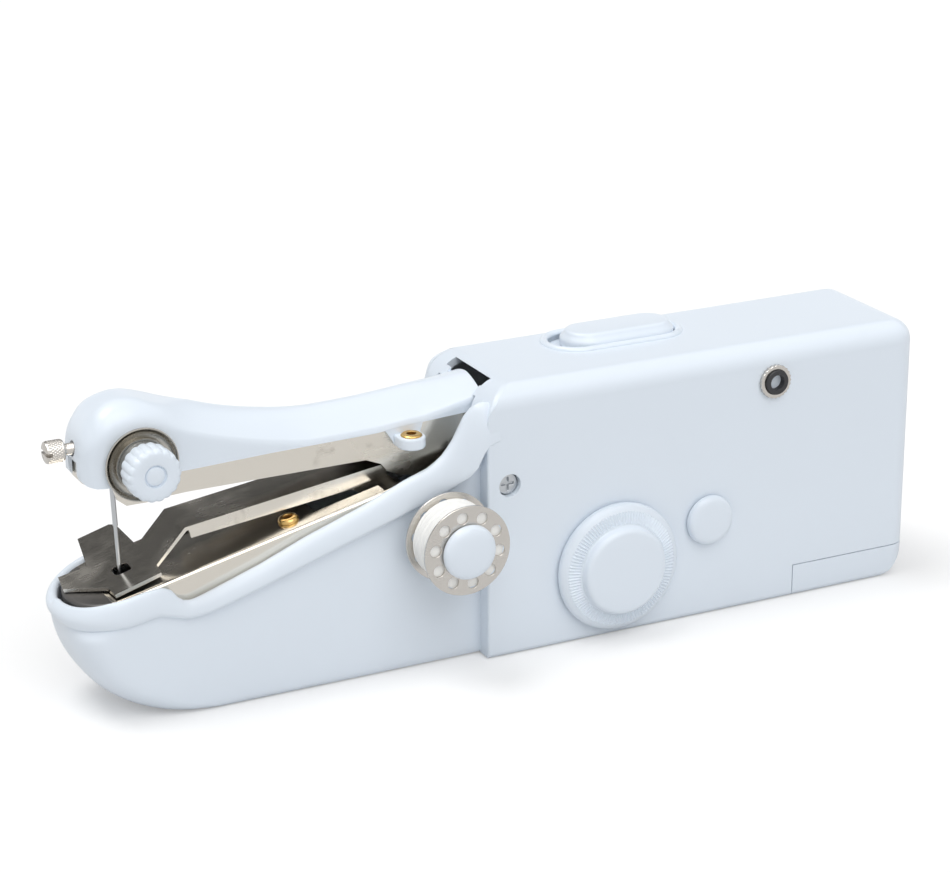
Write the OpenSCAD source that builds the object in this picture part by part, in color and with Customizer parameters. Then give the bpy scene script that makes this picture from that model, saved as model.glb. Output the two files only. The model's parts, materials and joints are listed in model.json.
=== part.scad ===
// Hand-held battery sewing machine, lying on its flat base.
// Millimetres. X = 0 at the step between nose and grip box, +X to the tail,
// -Y to the dial face, Z = 0 on the base.

/* [Grip box] */
// Length of the grip box
box_len = 113; // [108:0.5:118]
// Height of the grip box
box_h = 63.4; // [62.6:0.2:66]
// Width of the grip box
box_w = 35.9; // [35.5:0.1:38]
// Wall of the box
box_wall = 1.8; // [1.5:0.1:2]
// Round along the long top edges
edge_r = 5; // [4:0.5:6]
// Round along the long bottom edges
base_edge_r = 1.5; // [1:0.25:2]
// Round of the tail at the bottom
tail_r = 9.5; // [8:0.5:10]
// Height of the battery cover
cover_h = 7.9; // [7:0.1:9]

/* [Nose] */
// Reach of the nose hull from the step
nose_len = 93.8; // [93:0.1:95.5]
// Width of the nose hull
nose_w = 28; // [27.8:0.1:29]
// Wall of the nose hull
nose_wall = 1.4; // [1.2:0.1:1.6]
// How far the rim stands out of the hull
rim_out = 1; // [0.6:0.1:1.2]

/* [Bed plate] */
// Height of the bed at the front reference
bed_front_z = 28.3; // [27.9:0.1:28.6]
// Slope of the bed in degrees
bed_angle = 12.8; // [12.4:0.1:13.2]
// Sheet metal thickness
sheet = 0.8; // [0.6:0.1:0.9]

/* [Arm] */
// Width of the plastic arm cover
arm_w = 16.8; // [16.4:0.1:17.2]
// Thickness of the arm cover
arm_wall = 0.85; // [0.7:0.05:1]
// Angle the arm swings down
arm_swing = 9.5; // [8:0.5:9.5]
// Radius of the arm pin
arm_pin_r = 1.5; // [1.2:0.1:1.8]

/* [Needle] */
// Radius of the needle shank
needle_r = 0.55; // [0.5:0.05:0.6]
// Side offset of the needle
needle_y = -1; // [-1.5:0.1:0]
// Lean of the needle in degrees
needle_lean = 2.2; // [1:0.1:3]

/* [Presser plate] */
// Width of the presser strip
strip_w = 12.4; // [11.8:0.1:12.6]
// Radius of the presser pin
presser_pin_r = 1; // [0.8:0.1:1.2]

/* [Gear train] */
// Gear module
gear_module = 0.6; // [0.58:0.01:0.6]
// Radius of the hand wheel shaft
drive_shaft_r = 2; // [1.6:0.1:2.4]
// Radius of the winder shaft
winder_shaft_r = 1.5; // [1.2:0.1:1.8]
// Radius of the motor shaft
motor_shaft_r = 1; // [0.8:0.1:1.2]
// Radius of the motor can
motor_r = 10; // [9:0.5:10.5]

/* [Dials] */
// Radius of the hand wheel
wheel_r = 15.1; // [14:0.1:15.5]
// Radius of the raised middle of the hand wheel
wheel_mid_r = 10.3; // [9:0.1:11]
// Radius of the winder disc
disc_r = 5.9; // [5:0.1:6.5]

/* [Bobbin] */
// Radius of the bobbin flanges
bobbin_r = 10.25; // [9.5:0.25:10.5]
// Width of the bobbin
bobbin_w = 9.9; // [9:0.1:10.6]
// Radius of the bobbin post
post_r = 2.9; // [2.6:0.1:3]

/* [Switch] */
// Length of the sliding button
button_len = 28.4; // [27:0.2:28.8]
// Width of the sliding button
button_w = 12.2; // [11.4:0.2:12.4]
// Travel of the sliding button
button_travel = 2.6; // [2:0.1:2.6]

/* [Socket and cells] */
// Radius of the power socket's hole
jack_bore_r = 1.75; // [1.5:0.05:2]
// Radius of a cell
cell_r = 7.25; // [7:0.05:7.25]
// Length of a cell
cell_len = 50.5; // [49.5:0.1:50.5]

/* [Fits] */
// Radial clearance of a turning fit
run_gap = 0.05; // [0.02:0.01:0.1]
// Gap between parts that pass each other
pass_gap = 0.3; // [0.2:0.05:0.35]

/* [Hidden] */
$fn = 48;
eps = 0.01;
over = 1; // how far a cut runs past a face

half_w = box_w / 2;
inner_half = half_w - box_wall;
seam_y = half_w - 3.95; // joint between shell and back cover
face_y = -half_w;
face_in_y = -inner_half;
roof_z = box_h - box_wall;
nose_half = nose_w / 2;
nose_in = nose_half - nose_wall;
rim_half = nose_half + rim_out;

// Battery bay
bay_x = box_len - 34.8; // partition
cover_x = box_len - 32.8; // front end of the battery cover
cell_pitch = 2 * cell_r + 0.4;
cell_x1 = box_len - box_wall - 1.45 - cell_r;
cell_x0 = cell_x1 - cell_pitch;
cell_low = cover_h;
leaf_h = roof_z - cell_low - cell_len - 0.1; // height of the roof contacts

// Mouth of the box that the arm swings in
mouth_half = arm_w / 2 + 0.8;
mouth_edge_x = 4.2;
mouth_low_z = 47.5;
mouth_r = 8; // round of the top corner beside the mouth

// Bed plate: a channel turned upside down
bed_ref_x = -84.1;
bed_slope = tan(bed_angle);
function bed_z(x) = bed_front_z + bed_slope * (x - bed_ref_x);
bed_half = nose_in - 0.2;
bed_tip = nose_len - nose_wall - 0.8;
bed_depth = 10.5;
bed_rear_x = 17;

// Arm
arm_pivot = [12, 44];
plate_out = arm_w / 2 - arm_wall - 0.05; // outer face of the steel side plates
plate_in = plate_out - sheet;
head_web_z = 62.2; // top of the steel web in the head
arm_rear_x = mouth_edge_x - 0.8;
tension_at = [-76.4, 57];
clamp_x = -80.6;
clamp_z = 56;
screw_z = 59.8;

// Presser plate
presser_pivot = [-14, 37.5];
strip_half = strip_w / 2;
foot_at = [-79.24, 30.87];

// Gear train
drive_at = [bay_x - 46, box_h * 0.2729];
drive_teeth = 48;
winder_small_teeth = 36;
winder_large_teeth = 50;
pinion_teeth = 10;
winder_dist = gear_module * (drive_teeth + winder_small_teeth) / 2;
winder_dir = 15.3;
winder_at = drive_at + winder_dist * [cos(winder_dir), sin(winder_dir)];
motor_dist = gear_module * (winder_large_teeth + pinion_teeth) / 2;
motor_dir = 100;
motor_at = winder_at + motor_dist * [cos(motor_dir), sin(motor_dir)];
gear_y0 = -13.5; // drive gear, near face
gear_y1 = -10.6;
large_y0 = gear_y1 + pass_gap;
large_y1 = -plate_out - 0.5;
boss_y = gear_y0 - pass_gap;
bracket_y0 = -5.4;
bracket_y1 = bracket_y0 + 1.2;
motor_y1 = inner_half - 0.6;

// The crank pin drives a slotted tail on the arm
tail_vec = drive_at - arm_pivot;
tail_len = norm(tail_vec);
crank_r = tail_len * sin(arm_swing / 2);
tail_dir = atan2(tail_vec[1], tail_vec[0]) - arm_swing / 2;
crank_pin_r = 1.2;
crank_at = arm_pivot + tail_len * cos(arm_swing / 2) * [cos(tail_dir), sin(tail_dir)];

// Posts in the shell
motor_posts = [[bay_x - 38.2, 44], [bay_x - 4.7, 43.5], [bay_x - 4.7, 9]];
lid_posts = [[24, box_h - 7.9], [10, 7], [bay_x - 2.2, 25]];
post_out_r = 2.6;
lid_screw_r = 1.1;

// Dials and bobbin
wheel_y = face_y - 0.45;
bobbin_at = [-10.1, 32];
bobbin_y0 = face_y - 0.35;
bobbin_y1 = bobbin_y0 - bobbin_w;
bobbin_bore = post_r + 0.1;

// Switch
button_x1 = 59.2; // rear end, switched off
recess_x0 = button_x1 - button_len - button_travel - 0.4;
recess_x1 = button_x1 + 0.2;
switch_y = 5.3;
recess_half = button_w / 2 + 0.2;
bezel = 2;
bezel_top = box_h + 0.6;
recess_z = box_h - 1.2;
pad_z = box_h - 3;

jack_at = [bay_x - 4.9, box_h - 8.7];
jack_r = 2.9;
nose_screw_at = [5.4, 40.9];

// ---- helpers ----

// Extrudes an XZ outline from y0 to y1
module along_y(y0, y1)
  translate([0, y1, 0]) rotate([90, 0, 0]) linear_extrude(y1 - y0) children();

// Extrudes a YZ outline from x0 to x1
module along_x(x0, x1)
  translate([x0, 0, 0]) rotate([90, 0, 90]) linear_extrude(x1 - x0) children();

module rod_y(at, r, y0, y1)
  translate([at[0], y1, at[1]]) rotate([90, 0, 0]) cylinder(r = r, h = y1 - y0);

module tube_y(at, r, bore, y0, y1)
  difference() {
    rod_y(at, r, y0, y1);
    rod_y(at, bore, y0 - over, y1 + over);
  }

// Turns an outline of [radius, depth from y] about an axis along Y
module turned_y(at, y)
  translate([at[0], y, at[1]]) rotate([90, 0, 0]) rotate_extrude() children();

module box_between(lo, hi) translate(lo) cube(hi - lo);

// Rectangle with its own radius at each corner: low-left, low-right, high-right, high-left
module rounded(lo, hi, radii) {
  corners = [[lo, [1, 1]], [[hi[0], lo[1]], [-1, 1]], [hi, [-1, -1]], [[lo[0], hi[1]], [1, -1]]];
  difference() {
    translate(lo) square(hi - lo);
    for (i = [0:3])
      if (radii[i] > 0)
        difference() {
          r = radii[i];
          at = corners[i][0];
          way = corners[i][1];
          translate([at[0] + (way[0] > 0 ? -over : -r), at[1] + (way[1] > 0 ? -over : -r)])
            square(r + over);
          translate(at + r * way) circle(r);
        }
  }
}

// Slot with round ends between two points
module slot2d(a, b, r) {
  dir = atan2(b[1] - a[1], b[0] - a[0]);
  translate(a) circle(r);
  translate(b) circle(r);
  translate(a) rotate(dir) translate([0, -r]) square([norm(b - a), 2 * r]);
}

// Strap between two round ends, a little narrower than they are
module strap(a, b, r) {
  dir = atan2(b[1] - a[1], b[0] - a[0]);
  translate(a) circle(r);
  translate(b) circle(r);
  translate(a) rotate(dir) translate([0, 0.5 - r]) square([norm(b - a), 2 * r - 1]);
}

// Outline of the nose seen from above: straight sides and a blunt round tip
nose_round_x = -82;
nose_blunt = 0.95;
function plan_points(half, tip, rear) = concat(
  [[rear, -half], [rear, half]],
  [for (a = [90:-7.5:-90])
    [nose_round_x - (tip + nose_round_x) * pow(cos(a), nose_blunt),
     half * sign(sin(a)) * pow(abs(sin(a)), nose_blunt)]]);

module plan(half, tip, rear, z0, z1)
  translate([0, 0, z0]) linear_extrude(z1 - z0) polygon(plan_points(half, tip, rear));

// Side view of the nose bottom: flat base running up in a quarter ellipse
bow_x = -68;
bow_h = 21.5;
function bow_points(inset) =
  [for (a = [0:7.5:90])
    [bow_x - (nose_len + bow_x - inset) * sin(a), bow_h - (bow_h - inset) * cos(a)]];

// Side view of the rim's top
function rim_top() = [[-97.5, 26.4], [-86.7, bed_z(-86.7) + 0.6], [-76, bed_z(-76) + 0.1],
  [-73, bed_z(-73) - 0.8], [-71, 27.2], [-69.5, 26.4], [-65, 27.4], [-52.4, 31.8],
  [-41.8, 36.1], [-27.9, 40.9], [-18.4, 44.9], [-12.5, 46.6], [-9.3, 48.6], [-6.6, 52],
  [-4.9, 55.5], [-2.9, 58.6], [0.5, 61]];
// Side view of the rim's lower edge
rim_low = [[0.5, 44], [-8, 39.6], [-19.5, 35.2], [-31.5, 31.4], [-43.4, 27.6], [-52.8, 24.8],
  [-65.3, 21.9], [-69.4, 21.9], [-75.8, 24.1], [-81.6, 23.2], [-88, 23], [-97.5, 22.8]];

module box_form(inset) {
  lo = inset;
  intersection() {
    along_y(-half_w + inset, half_w - inset)
      rounded([lo, lo], [box_len - inset, box_h - inset],
        [0, tail_r - inset, edge_r - inset, mouth_r - inset]);
    along_x(0, box_len)
      rounded([-half_w + inset, lo], [half_w - inset, box_h - inset],
        [max(0, base_edge_r - inset), max(0, base_edge_r - inset), edge_r - inset, edge_r - inset]);
    linear_extrude(box_h)
      rounded([lo, -half_w + inset], [box_len - inset, half_w - inset],
        [0, edge_r - inset, edge_r - inset, 0]);
  }
}

// Room for the battery cover, with a gap all round it
module cover_zone(gap)
  box_between([cover_x + gap, -half_w - over, -over], [box_len + over, half_w + over, cover_h - gap]);

module nose_hull() {
  intersection() {
    plan(nose_half, nose_len, eps, 0, box_h);
    along_y(-rim_half, rim_half)
      polygon(concat([[0.5, 0]], bow_points(0), rim_top()));
  }
  intersection() {
    plan(rim_half, nose_len + rim_out, eps, 0, box_h);
    along_y(-rim_half - over, rim_half + over) polygon(concat(rim_top(), rim_low));
  }
}

module nose_hollow()
  intersection() {
    plan(nose_in, nose_len - nose_wall, over, 0, box_h + over);
    along_y(-nose_half, nose_half)
      polygon(concat([[over, box_wall]], bow_points(box_wall), [[-nose_len, box_h], [over, box_h]]));
  }

module mouth_cut() {
  box_between([-over, -mouth_half, mouth_low_z - over], [mouth_edge_x, mouth_half, box_h + over]);
  box_between([-over, -nose_in, bed_z(0) - bed_depth - 2], [box_wall + over, nose_in, mouth_low_z]);
}

// ---- housing ----

module front_shell() color("aliceblue") {
  difference() {
    union() {
      difference() {
        union() {
          box_form(0);
          nose_hull();
          translate([0, 0, bezel_top - 4]) linear_extrude(4) switch_slot(recess_half + bezel);
        }
        box_form(box_wall);
        nose_hollow();
      }
      intersection() {
        box_form(eps);
        shell_insides();
      }
      // ledges that carry the bed plate
      for (x = [-68, -32], side = [-1, 1])
        intersection() {
          box_between([x, side > 0 ? nose_in - 2 : -nose_half, 1],
            [x + 5, side > 0 ? nose_half : -nose_in + 2, bed_z(x) - bed_depth]);
          plan(nose_half - eps, nose_len, 0, 0, box_h);
        }
    }
    box_between([0, seam_y, -over], [box_len + over, half_w + over, box_h + 5]);
    mouth_cut();
    cover_zone(0);
    // switch recess and the slot for its stem
    translate([0, 0, recess_z]) linear_extrude(5) switch_slot(recess_half);
    box_between([button_x1 - button_len / 2 - button_travel - 2.5, switch_y - 1.8, pad_z - over],
      [button_x1 - button_len / 2 + 2.5, switch_y + 1.8, box_h]);
    rod_y(drive_at, drive_shaft_r + run_gap, face_y - over, boss_y + over);
    rod_y(winder_at, winder_shaft_r + run_gap, face_y - over, boss_y + over);
    rod_y(jack_at, jack_r + run_gap, face_y - over, 0);
    rod_y(nose_screw_at, 2.65, face_y - over, face_y + 2.8);
    rod_y(nose_screw_at, 1.1, face_y - over, -bed_half + over);
    rod_y(bobbin_at, 1.6, -nose_half - over, -nose_in + over);
    for (at = lid_posts) rod_y(at, lid_screw_r, 2, seam_y + over);
    rod_y(looper_at, looper_pin_r + run_gap, -nose_in + 0.6, nose_in - 0.6);
  }
}

// Outline of the switch recess, or of the bead round it with a larger radius
module switch_slot(r)
  slot2d([recess_x0 + recess_half, switch_y], [recess_x1 - recess_half, switch_y], r);

// Bosses, posts and the battery wall inside the front shell
module shell_insides() {
  rod_y(drive_at, drive_shaft_r + 2, face_in_y - eps, boss_y);
  rod_y(winder_at, winder_shaft_r + 2, face_in_y - eps, boss_y);
  rod_y(nose_screw_at, 4, face_in_y - eps, -bed_half - 0.1);
  for (at = motor_posts) rod_y(at, post_out_r, face_in_y - eps, bracket_y0);
  for (at = lid_posts) rod_y(at, post_out_r, face_in_y - eps, seam_y);
  box_between([bay_x, -half_w, 0], [bay_x + 1.5, half_w, box_h]);
  // pad under the switch recess
  box_between([recess_x0 - 2, switch_y - recess_half - 1, pad_z],
    [recess_x1 + 2, seam_y, roof_z + 1]);
}

module back_cover() color("aliceblue")
  difference() {
    union() {
      intersection() {
        difference() {
          box_form(0);
          box_form(box_wall);
        }
        box_between([-over, seam_y, -over], [box_len + over, half_w + over, box_h + over]);
      }
      for (at = lid_posts) rod_y(at, post_out_r, seam_y, inner_half + eps);
    }
    mouth_cut();
    cover_zone(0);
    for (at = lid_posts) {
      rod_y(at, lid_screw_r + 0.3, seam_y - over, half_w + over);
      rod_y(at, 2.5, half_w - 1.7, half_w + over);
    }
  }

module battery_cover() color("aliceblue")
  difference() {
    intersection() {
      difference() {
        box_form(0);
        box_form(box_wall);
      }
      cover_zone(0.2);
    }
    // thumb grooves
    for (x = [0:2])
      box_between([cover_x + 6 + 2 * x, -6, -over], [cover_x + 7 + 2 * x, 6, 0.5]);
  }

module screw(at, y_head, y_tip, head_r, shank_r, way) {
  // way is +1 when the head faces +Y
  head_h = 1.4;
  difference() {
    union() {
      rod_y(at, head_r, min(y_head, y_head - way * head_h), max(y_head, y_head - way * head_h));
      rod_y(at, shank_r, min(y_head, y_tip), max(y_head, y_tip));
    }
    for (turn = [0, 90])
      translate([at[0], y_head, at[1]]) rotate([0, turn, 0])
        cube([0.6, 1.4, head_r * 1.3], center = true);
  }
}

module housing_screws() color("silver")
  for (at = lid_posts) screw(at, half_w - 0.3, 3, 2.3, lid_screw_r - eps, 1);

module nose_screw() color("silver")
  screw(nose_screw_at, face_y + 1.3, -bed_half + sheet + 0.6, 2.4, 1, -1);

// ---- power ----

module aa_cells() color("gold")
  for (i = [0, 1], side = [-1, 1]) {
    up = (i + (side + 1) / 2) % 2 == 0;
    translate([i == 0 ? cell_x0 : cell_x1, side * (cell_r + 0.2), cell_low]) {
      translate([0, 0, up ? 0 : 1]) cylinder(r = cell_r, h = cell_len - 1);
      translate([0, 0, up ? cell_len - 1 - eps : 0]) cylinder(r = 2.75, h = 1 + eps);
    }
  }

module roof_contacts() color("silver")
  for (side = [-1, 1])
    along_y(side * (cell_r + 0.2) - 2.5, side * (cell_r + 0.2) + 2.5)
      polygon([[cell_x0 - 5, roof_z], [cell_x0 - 3, roof_z - leaf_h], [cell_x1 + 3, roof_z - leaf_h],
        [cell_x1 + 5, roof_z], [cell_x1 + 4.4, roof_z], [cell_x1 + 2.6, roof_z - leaf_h + 0.4],
        [cell_x0 - 2.6, roof_z - leaf_h + 0.4], [cell_x0 - 4.4, roof_z]]);

// Conical contact spring as one ribbed solid
module contact_spring(r_low, r_high, height, coils) {
  step = height / coils;
  rotate_extrude() polygon(concat([[0.4, 0]],
    [for (i = [0:coils - 1]) each [[r_low + (r_high - r_low) * i / coils, step * i],
      [r_low + (r_high - r_low) * i / coils, step * (i + 0.55)],
      [r_low + (r_high - r_low) * i / coils - 0.8, step * (i + 0.6)],
      [r_low + (r_high - r_low) * i / coils - 0.8, step * (i + 0.95)]]],
    [[0.4, height]]));
}

module cover_contacts() color("silver")
  for (i = [0, 1], side = [-1, 1])
    translate([i == 0 ? cell_x0 : cell_x1, side * (cell_r + 0.2), box_wall]) {
      translate([-3.2, -3.2, i == 0 ? 0 : 0.4]) cube([6.4, 6.4, 0.6]);
      translate([0, 0, 0.6 - eps + (i == 0 ? 0 : 0.4)])
        contact_spring(3, 1.8, cell_low - pass_gap - box_wall - 0.6 - (i == 0 ? 0 : 0.4), 4);
    }

module motor_can() color("silver")
  difference() {
    union() {
      intersection() {
        rod_y(motor_at, motor_r, bracket_y1, motor_y1);
        box_between([motor_at[0] - 20, -half_w, motor_at[1] - motor_r * 0.78],
          [motor_at[0] + 20, half_w, motor_at[1] + motor_r * 0.78]);
      }
      rod_y(motor_at, 3, bracket_y0, bracket_y1 + eps);
    }
    rod_y(motor_at, motor_shaft_r + run_gap, bracket_y0 - over, bracket_y1 + 6);
  }

module motor_bracket() color("silver")
  difference() {
    along_y(bracket_y0, bracket_y1) {
      strap(motor_posts[0], motor_at, 3.4);
      strap(motor_at, motor_posts[1], 3.4);
      strap(motor_at, winder_at, 5);
      strap(winder_at, motor_posts[2], 3.4);
    }
    rod_y(motor_at, 3 + run_gap, bracket_y0 - over, bracket_y1 + over);
    rod_y(winder_at, winder_shaft_r + run_gap, bracket_y0 - over, bracket_y1 + over);
  }

// ---- gears ----

// Straight-flanked spur gear; a tooth points along angle dir, or a gap if gap is true
function gear_points(teeth, dir, gap) =
  let (rp = gear_module * teeth / 2, r_out = rp + 0.7 * gear_module, r_root = rp - gear_module,
       half_t = 0.39 * PI * gear_module / 2, lean = tan(20),
       start = dir + (gap ? 180 / teeth : 0))
  [for (i = [0:teeth - 1], k = [0:3])
    let (r = (k == 1 || k == 2) ? r_out : r_root,
         side = k < 2 ? -1 : 1,
         turn = side * (half_t + 0.1 * gear_module - (r - rp) * lean) / r * 180 / PI)
    r * [cos(start + i * 360 / teeth + turn), sin(start + i * 360 / teeth + turn)]];

module gear(at, teeth, dir, gap, y0, y1)
  along_y(y0, y1) translate(at) polygon(gear_points(teeth, dir, gap));

module drive_gear() color("white") {
  difference() {
    gear(drive_at, drive_teeth, winder_dir, false, gear_y0, gear_y1);
    rod_y(drive_at, drive_shaft_r + eps, gear_y0 - over, gear_y1 - 0.6);
  }
  rod_y(crank_at, crank_pin_r, gear_y1 - eps, -plate_out - pass_gap);
}

module drive_shaft() color("silver")
  rod_y(drive_at, drive_shaft_r, wheel_y - 2.4, gear_y1 - 0.6);

module hand_wheel() color("aliceblue")
  difference() {
    turned_y(drive_at, wheel_y) polygon([[0, 0], [wheel_r - 0.6, 0], [wheel_r, 0.5],
      [wheel_r, 1.3], [wheel_r - 1.1, 2.6], [wheel_r - 1.9, 3.1], [wheel_mid_r + 0.4, 3.3],
      [wheel_mid_r + 0.1, 3.5], [wheel_mid_r, 4.6], [wheel_mid_r - 0.4, 5.2],
      [wheel_mid_r - 1.1, 5.5], [0, 5.5]]);
    rod_y(drive_at, drive_shaft_r + eps, wheel_y - 2.4, wheel_y + over);
  }

module winder_shaft() color("silver")
  rod_y(winder_at, winder_shaft_r, face_y - 1.6, bracket_y1 - 0.2);

module winder_disc() color("aliceblue")
  difference() {
    turned_y(winder_at, face_y - 0.4) polygon([[0, 0], [disc_r - 0.2, 0], [disc_r, 0.3],
      [disc_r - 0.1, 0.9], [disc_r - 0.6, 1.5], [disc_r - 1.3, 1.8], [0, 1.9]]);
    rod_y(winder_at, winder_shaft_r + eps, face_y - 1.6, face_y + over);
  }

module winder_gear() color("white")
  difference() {
    union() {
      gear(winder_at, winder_small_teeth, winder_dir + 180, true, gear_y0, large_y0);
      gear(winder_at, winder_large_teeth, motor_dir, false, large_y0 - eps, large_y1);
      rod_y(winder_at, 2.4, large_y1 - eps, bracket_y0 - pass_gap);
    }
    rod_y(winder_at, winder_shaft_r + eps, gear_y0 - over, bracket_y0 + over);
  }

module motor_pinion() color("white") {
  gear(motor_at, pinion_teeth, motor_dir + 180, true, large_y0, large_y1);
  rod_y(motor_at, motor_shaft_r, large_y1 - eps, bracket_y1 + 5.5);
}

// ---- switch and socket ----

module switch_button() color("aliceblue") {
  r = button_w / 2;
  x0 = button_x1 - button_len;
  translate([0, 0, recess_z + pass_gap]) linear_extrude(box_h + 1.45 - recess_z)
    slot2d([x0 + r, switch_y], [button_x1 - r, switch_y], r);
  translate([0, 0, box_h + 1.7]) linear_extrude(0.4)
    slot2d([x0 + r, switch_y], [button_x1 - r, switch_y], r - 0.5);
  box_between([button_x1 - button_len / 2 - 2, switch_y - 1.4, pad_z - 2],
    [button_x1 - button_len / 2 + 2, switch_y + 1.4, recess_z + 1]);
}

module switch_body() color("dimgray") {
  mid = button_x1 - button_len / 2 - button_travel / 2;
  difference() {
    box_between([mid - 9, switch_y - 4, pad_z - 6], [mid + 9, switch_y + 4, pad_z]);
    box_between([mid - 4.2, switch_y - 1.8, pad_z - 3], [mid + 4.2, switch_y + 1.8, pad_z + over]);
  }
}

module dc_jack() color("dimgray")
  difference() {
    union() {
      rod_y(jack_at, jack_r, face_y - 1.6, face_in_y + eps);
      rod_y(jack_at, 3.9, face_in_y, -8);
    }
    rod_y(jack_at, jack_bore_r, face_y - 1.6 - over, -9);
  }

module jack_nut() color("silver")
  difference() {
    along_y(face_y - 1, face_y) translate(jack_at)
      polygon([for (i = [0:47]) (i % 2 == 0 ? 4.05 : 3.8) * [cos(7.5 * i), sin(7.5 * i)]]);
    rod_y(jack_at, jack_r + run_gap, face_y - 3, face_y + over);
  }

// ---- bed, presser and looper ----

module bed_plate() color("silver")
  difference() {
    intersection() {
      plan(bed_half, bed_tip, bed_rear_x, 0, box_h);
      along_y(-nose_half, nose_half) polygon([[-bed_tip - 1, bed_z(-bed_tip - 1)],
        [bed_rear_x, bed_z(bed_rear_x)], [bed_rear_x, bed_z(bed_rear_x) - bed_depth],
        [-76, bed_z(-76) - bed_depth], [-86, bed_z(-86) - 4], [-bed_tip - 1, bed_z(-bed_tip - 1) - 3]]);
    }
    intersection() {
      plan(bed_half - sheet, bed_tip - sheet, bed_rear_x + over, 0, box_h);
      along_y(-nose_half, nose_half) polygon([[-bed_tip, bed_z(-bed_tip) - sheet],
        [bed_rear_x + over, bed_z(bed_rear_x + over) - sheet], [bed_rear_x + over, 0], [-bed_tip, 0]]);
    }
    // hole for needle and looper
    box_between([foot_at[0] - 5.4, needle_y - 4.2, 20], [foot_at[0] + 4.6, needle_y + 4.6, 40]);
    // slot for the presser lugs, opening into the cut for the arm
    box_between([-37, -plate_out - 0.6, 30], [-22, plate_out + 0.6, 46]);
    box_between([-22 - eps, -bed_half + sheet, 36], [bed_rear_x + over, bed_half - sheet, 60]);
    rod_y(arm_pivot, arm_pin_r + eps, -nose_half, nose_half);
    rod_y(presser_pivot, presser_pin_r + eps, -nose_half, nose_half);
    rod_y(nose_screw_at, 1 + run_gap, -nose_half, 0);
    translate([-43, -7.3, bed_z(-43)]) rotate([0, -bed_angle, 0])
      cylinder(r = 1.7, h = 6, center = true);
  }

module bed_eyelet() color("goldenrod")
  translate([-43, -7.3, bed_z(-43)]) rotate([0, -bed_angle, 0])
    difference() {
      union() {
        translate([0, 0, -sheet - 0.6]) cylinder(r = 1.7, h = sheet + 0.6 + eps);
        rotate_extrude() polygon([[0, 0], [2.3, 0], [2.3, 0.4], [2, 0.9], [1.5, 1.1], [0, 1.1]]);
      }
      cylinder(r = 1.1, h = 8, center = true);
    }

// Top line of the presser strip and of its slanted front
strip_bend = [-66.4, 39.85];
strip_end = [-19.6, 46.4];
strip_foot = [-73, 32.55];
foot_slope = atan((strip_foot[1] - foot_at[1]) / (strip_foot[0] - foot_at[0]));
foot_outline = [[6.5, 19.9], [5.4, 21.4], [-2.3, 21.1], [-5.2, 6.9], [-11.7, 7.8],
  [-12.2, -0.5], [-5.3, -6.2], [-5.1, -10.9], [5.9, -10.3], [6.5, -5.6]];
strip_dir = atan2(strip_end[1] - strip_bend[1], strip_end[0] - strip_bend[0]);
slant_dir = atan2(strip_bend[1] - strip_foot[1], strip_bend[0] - strip_foot[0]);

module presser_plate() color("silver") {
  down = [0, -sheet];
  difference() {
    union() {
      // flat strip and slanted front
      along_y(-strip_half, strip_half) polygon([strip_foot + [-0.5, -sheet * 0.6], strip_bend, strip_end,
        strip_end + down, strip_bend + down + [0.4, 0], strip_foot + down]);
      // flanges and the lugs round the pin
      for (y = [-strip_half, strip_half - sheet])
        along_y(y, y + sheet) {
          polygon([strip_bend + [0.8, -0.2], strip_end + down / 2, strip_end + [0.6, -2.6],
            [-26, 42], strip_bend + [1.4, -2.6]]);
          polygon([[-26, 43], strip_end - [0, 0.4], strip_end + [0.6, -2.6],
            presser_pivot + [2.6, 0], presser_pivot - [2.6, 0], [-22, 38.6], [-27, 41.4]]);
          translate(presser_pivot) circle(2.6);
        }
      // foot plate
      translate([foot_at[0], 0, foot_at[1]]) rotate([0, -foot_slope, 0])
        translate([0, 0, -sheet]) linear_extrude(sheet)
          polygon(foot_outline);
    }
    rod_y(presser_pivot, presser_pin_r + run_gap, -nose_half, nose_half);
    translate([foot_at[0], needle_y, foot_at[1]]) rotate([0, -foot_slope, 0])
      linear_extrude(6, center = true) rounded([-1.9, -2.1], [1.9, 2.1], [1, 1, 1, 1]);
  }
}

module presser_pin() color("silver")
  rod_y(presser_pivot, presser_pin_r, -bed_half, bed_half);

// Torsion spring round the presser pin, as one ribbed sleeve
module presser_spring() color("silver") {
  coils = 7;
  length = 8;
  step = length / coils;
  translate([presser_pivot[0], length / 2, presser_pivot[1]]) rotate([90, 0, 0])
    rotate_extrude() polygon(concat([[presser_pin_r + eps, 0]],
      [for (i = [0:coils - 1]) each [[2.1, step * i], [2.1, step * (i + 0.6)],
        [1.7, step * (i + 0.65)], [1.7, step * (i + 0.95)]]],
      [[presser_pin_r + eps, length]]));
}

looper_at = [-65.5, 13];
looper_pin_r = 1;
module looper_pin() color("silver")
  rod_y(looper_at, looper_pin_r, -nose_in + 0.7, nose_in - 0.7);

module looper() color("silver") {
  y0 = needle_y + needle_r + 0.8;
  difference() {
    union() {
      rod_y(looper_at, 2.6, y0, y0 + 5);
      along_y(y0, y0 + 1) polygon([looper_at + [-2.4, -1], looper_at + [2.4, 1],
        [-71.5, 24.6], [-74.5, 25.4], [-77.6, 23.4], [-77.2, 22.9], [-74.4, 23.6], [-73, 22.6]]);
    }
    rod_y(looper_at, looper_pin_r + run_gap, y0 - over, y0 + 6);
  }
}

// ---- arm ----

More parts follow.
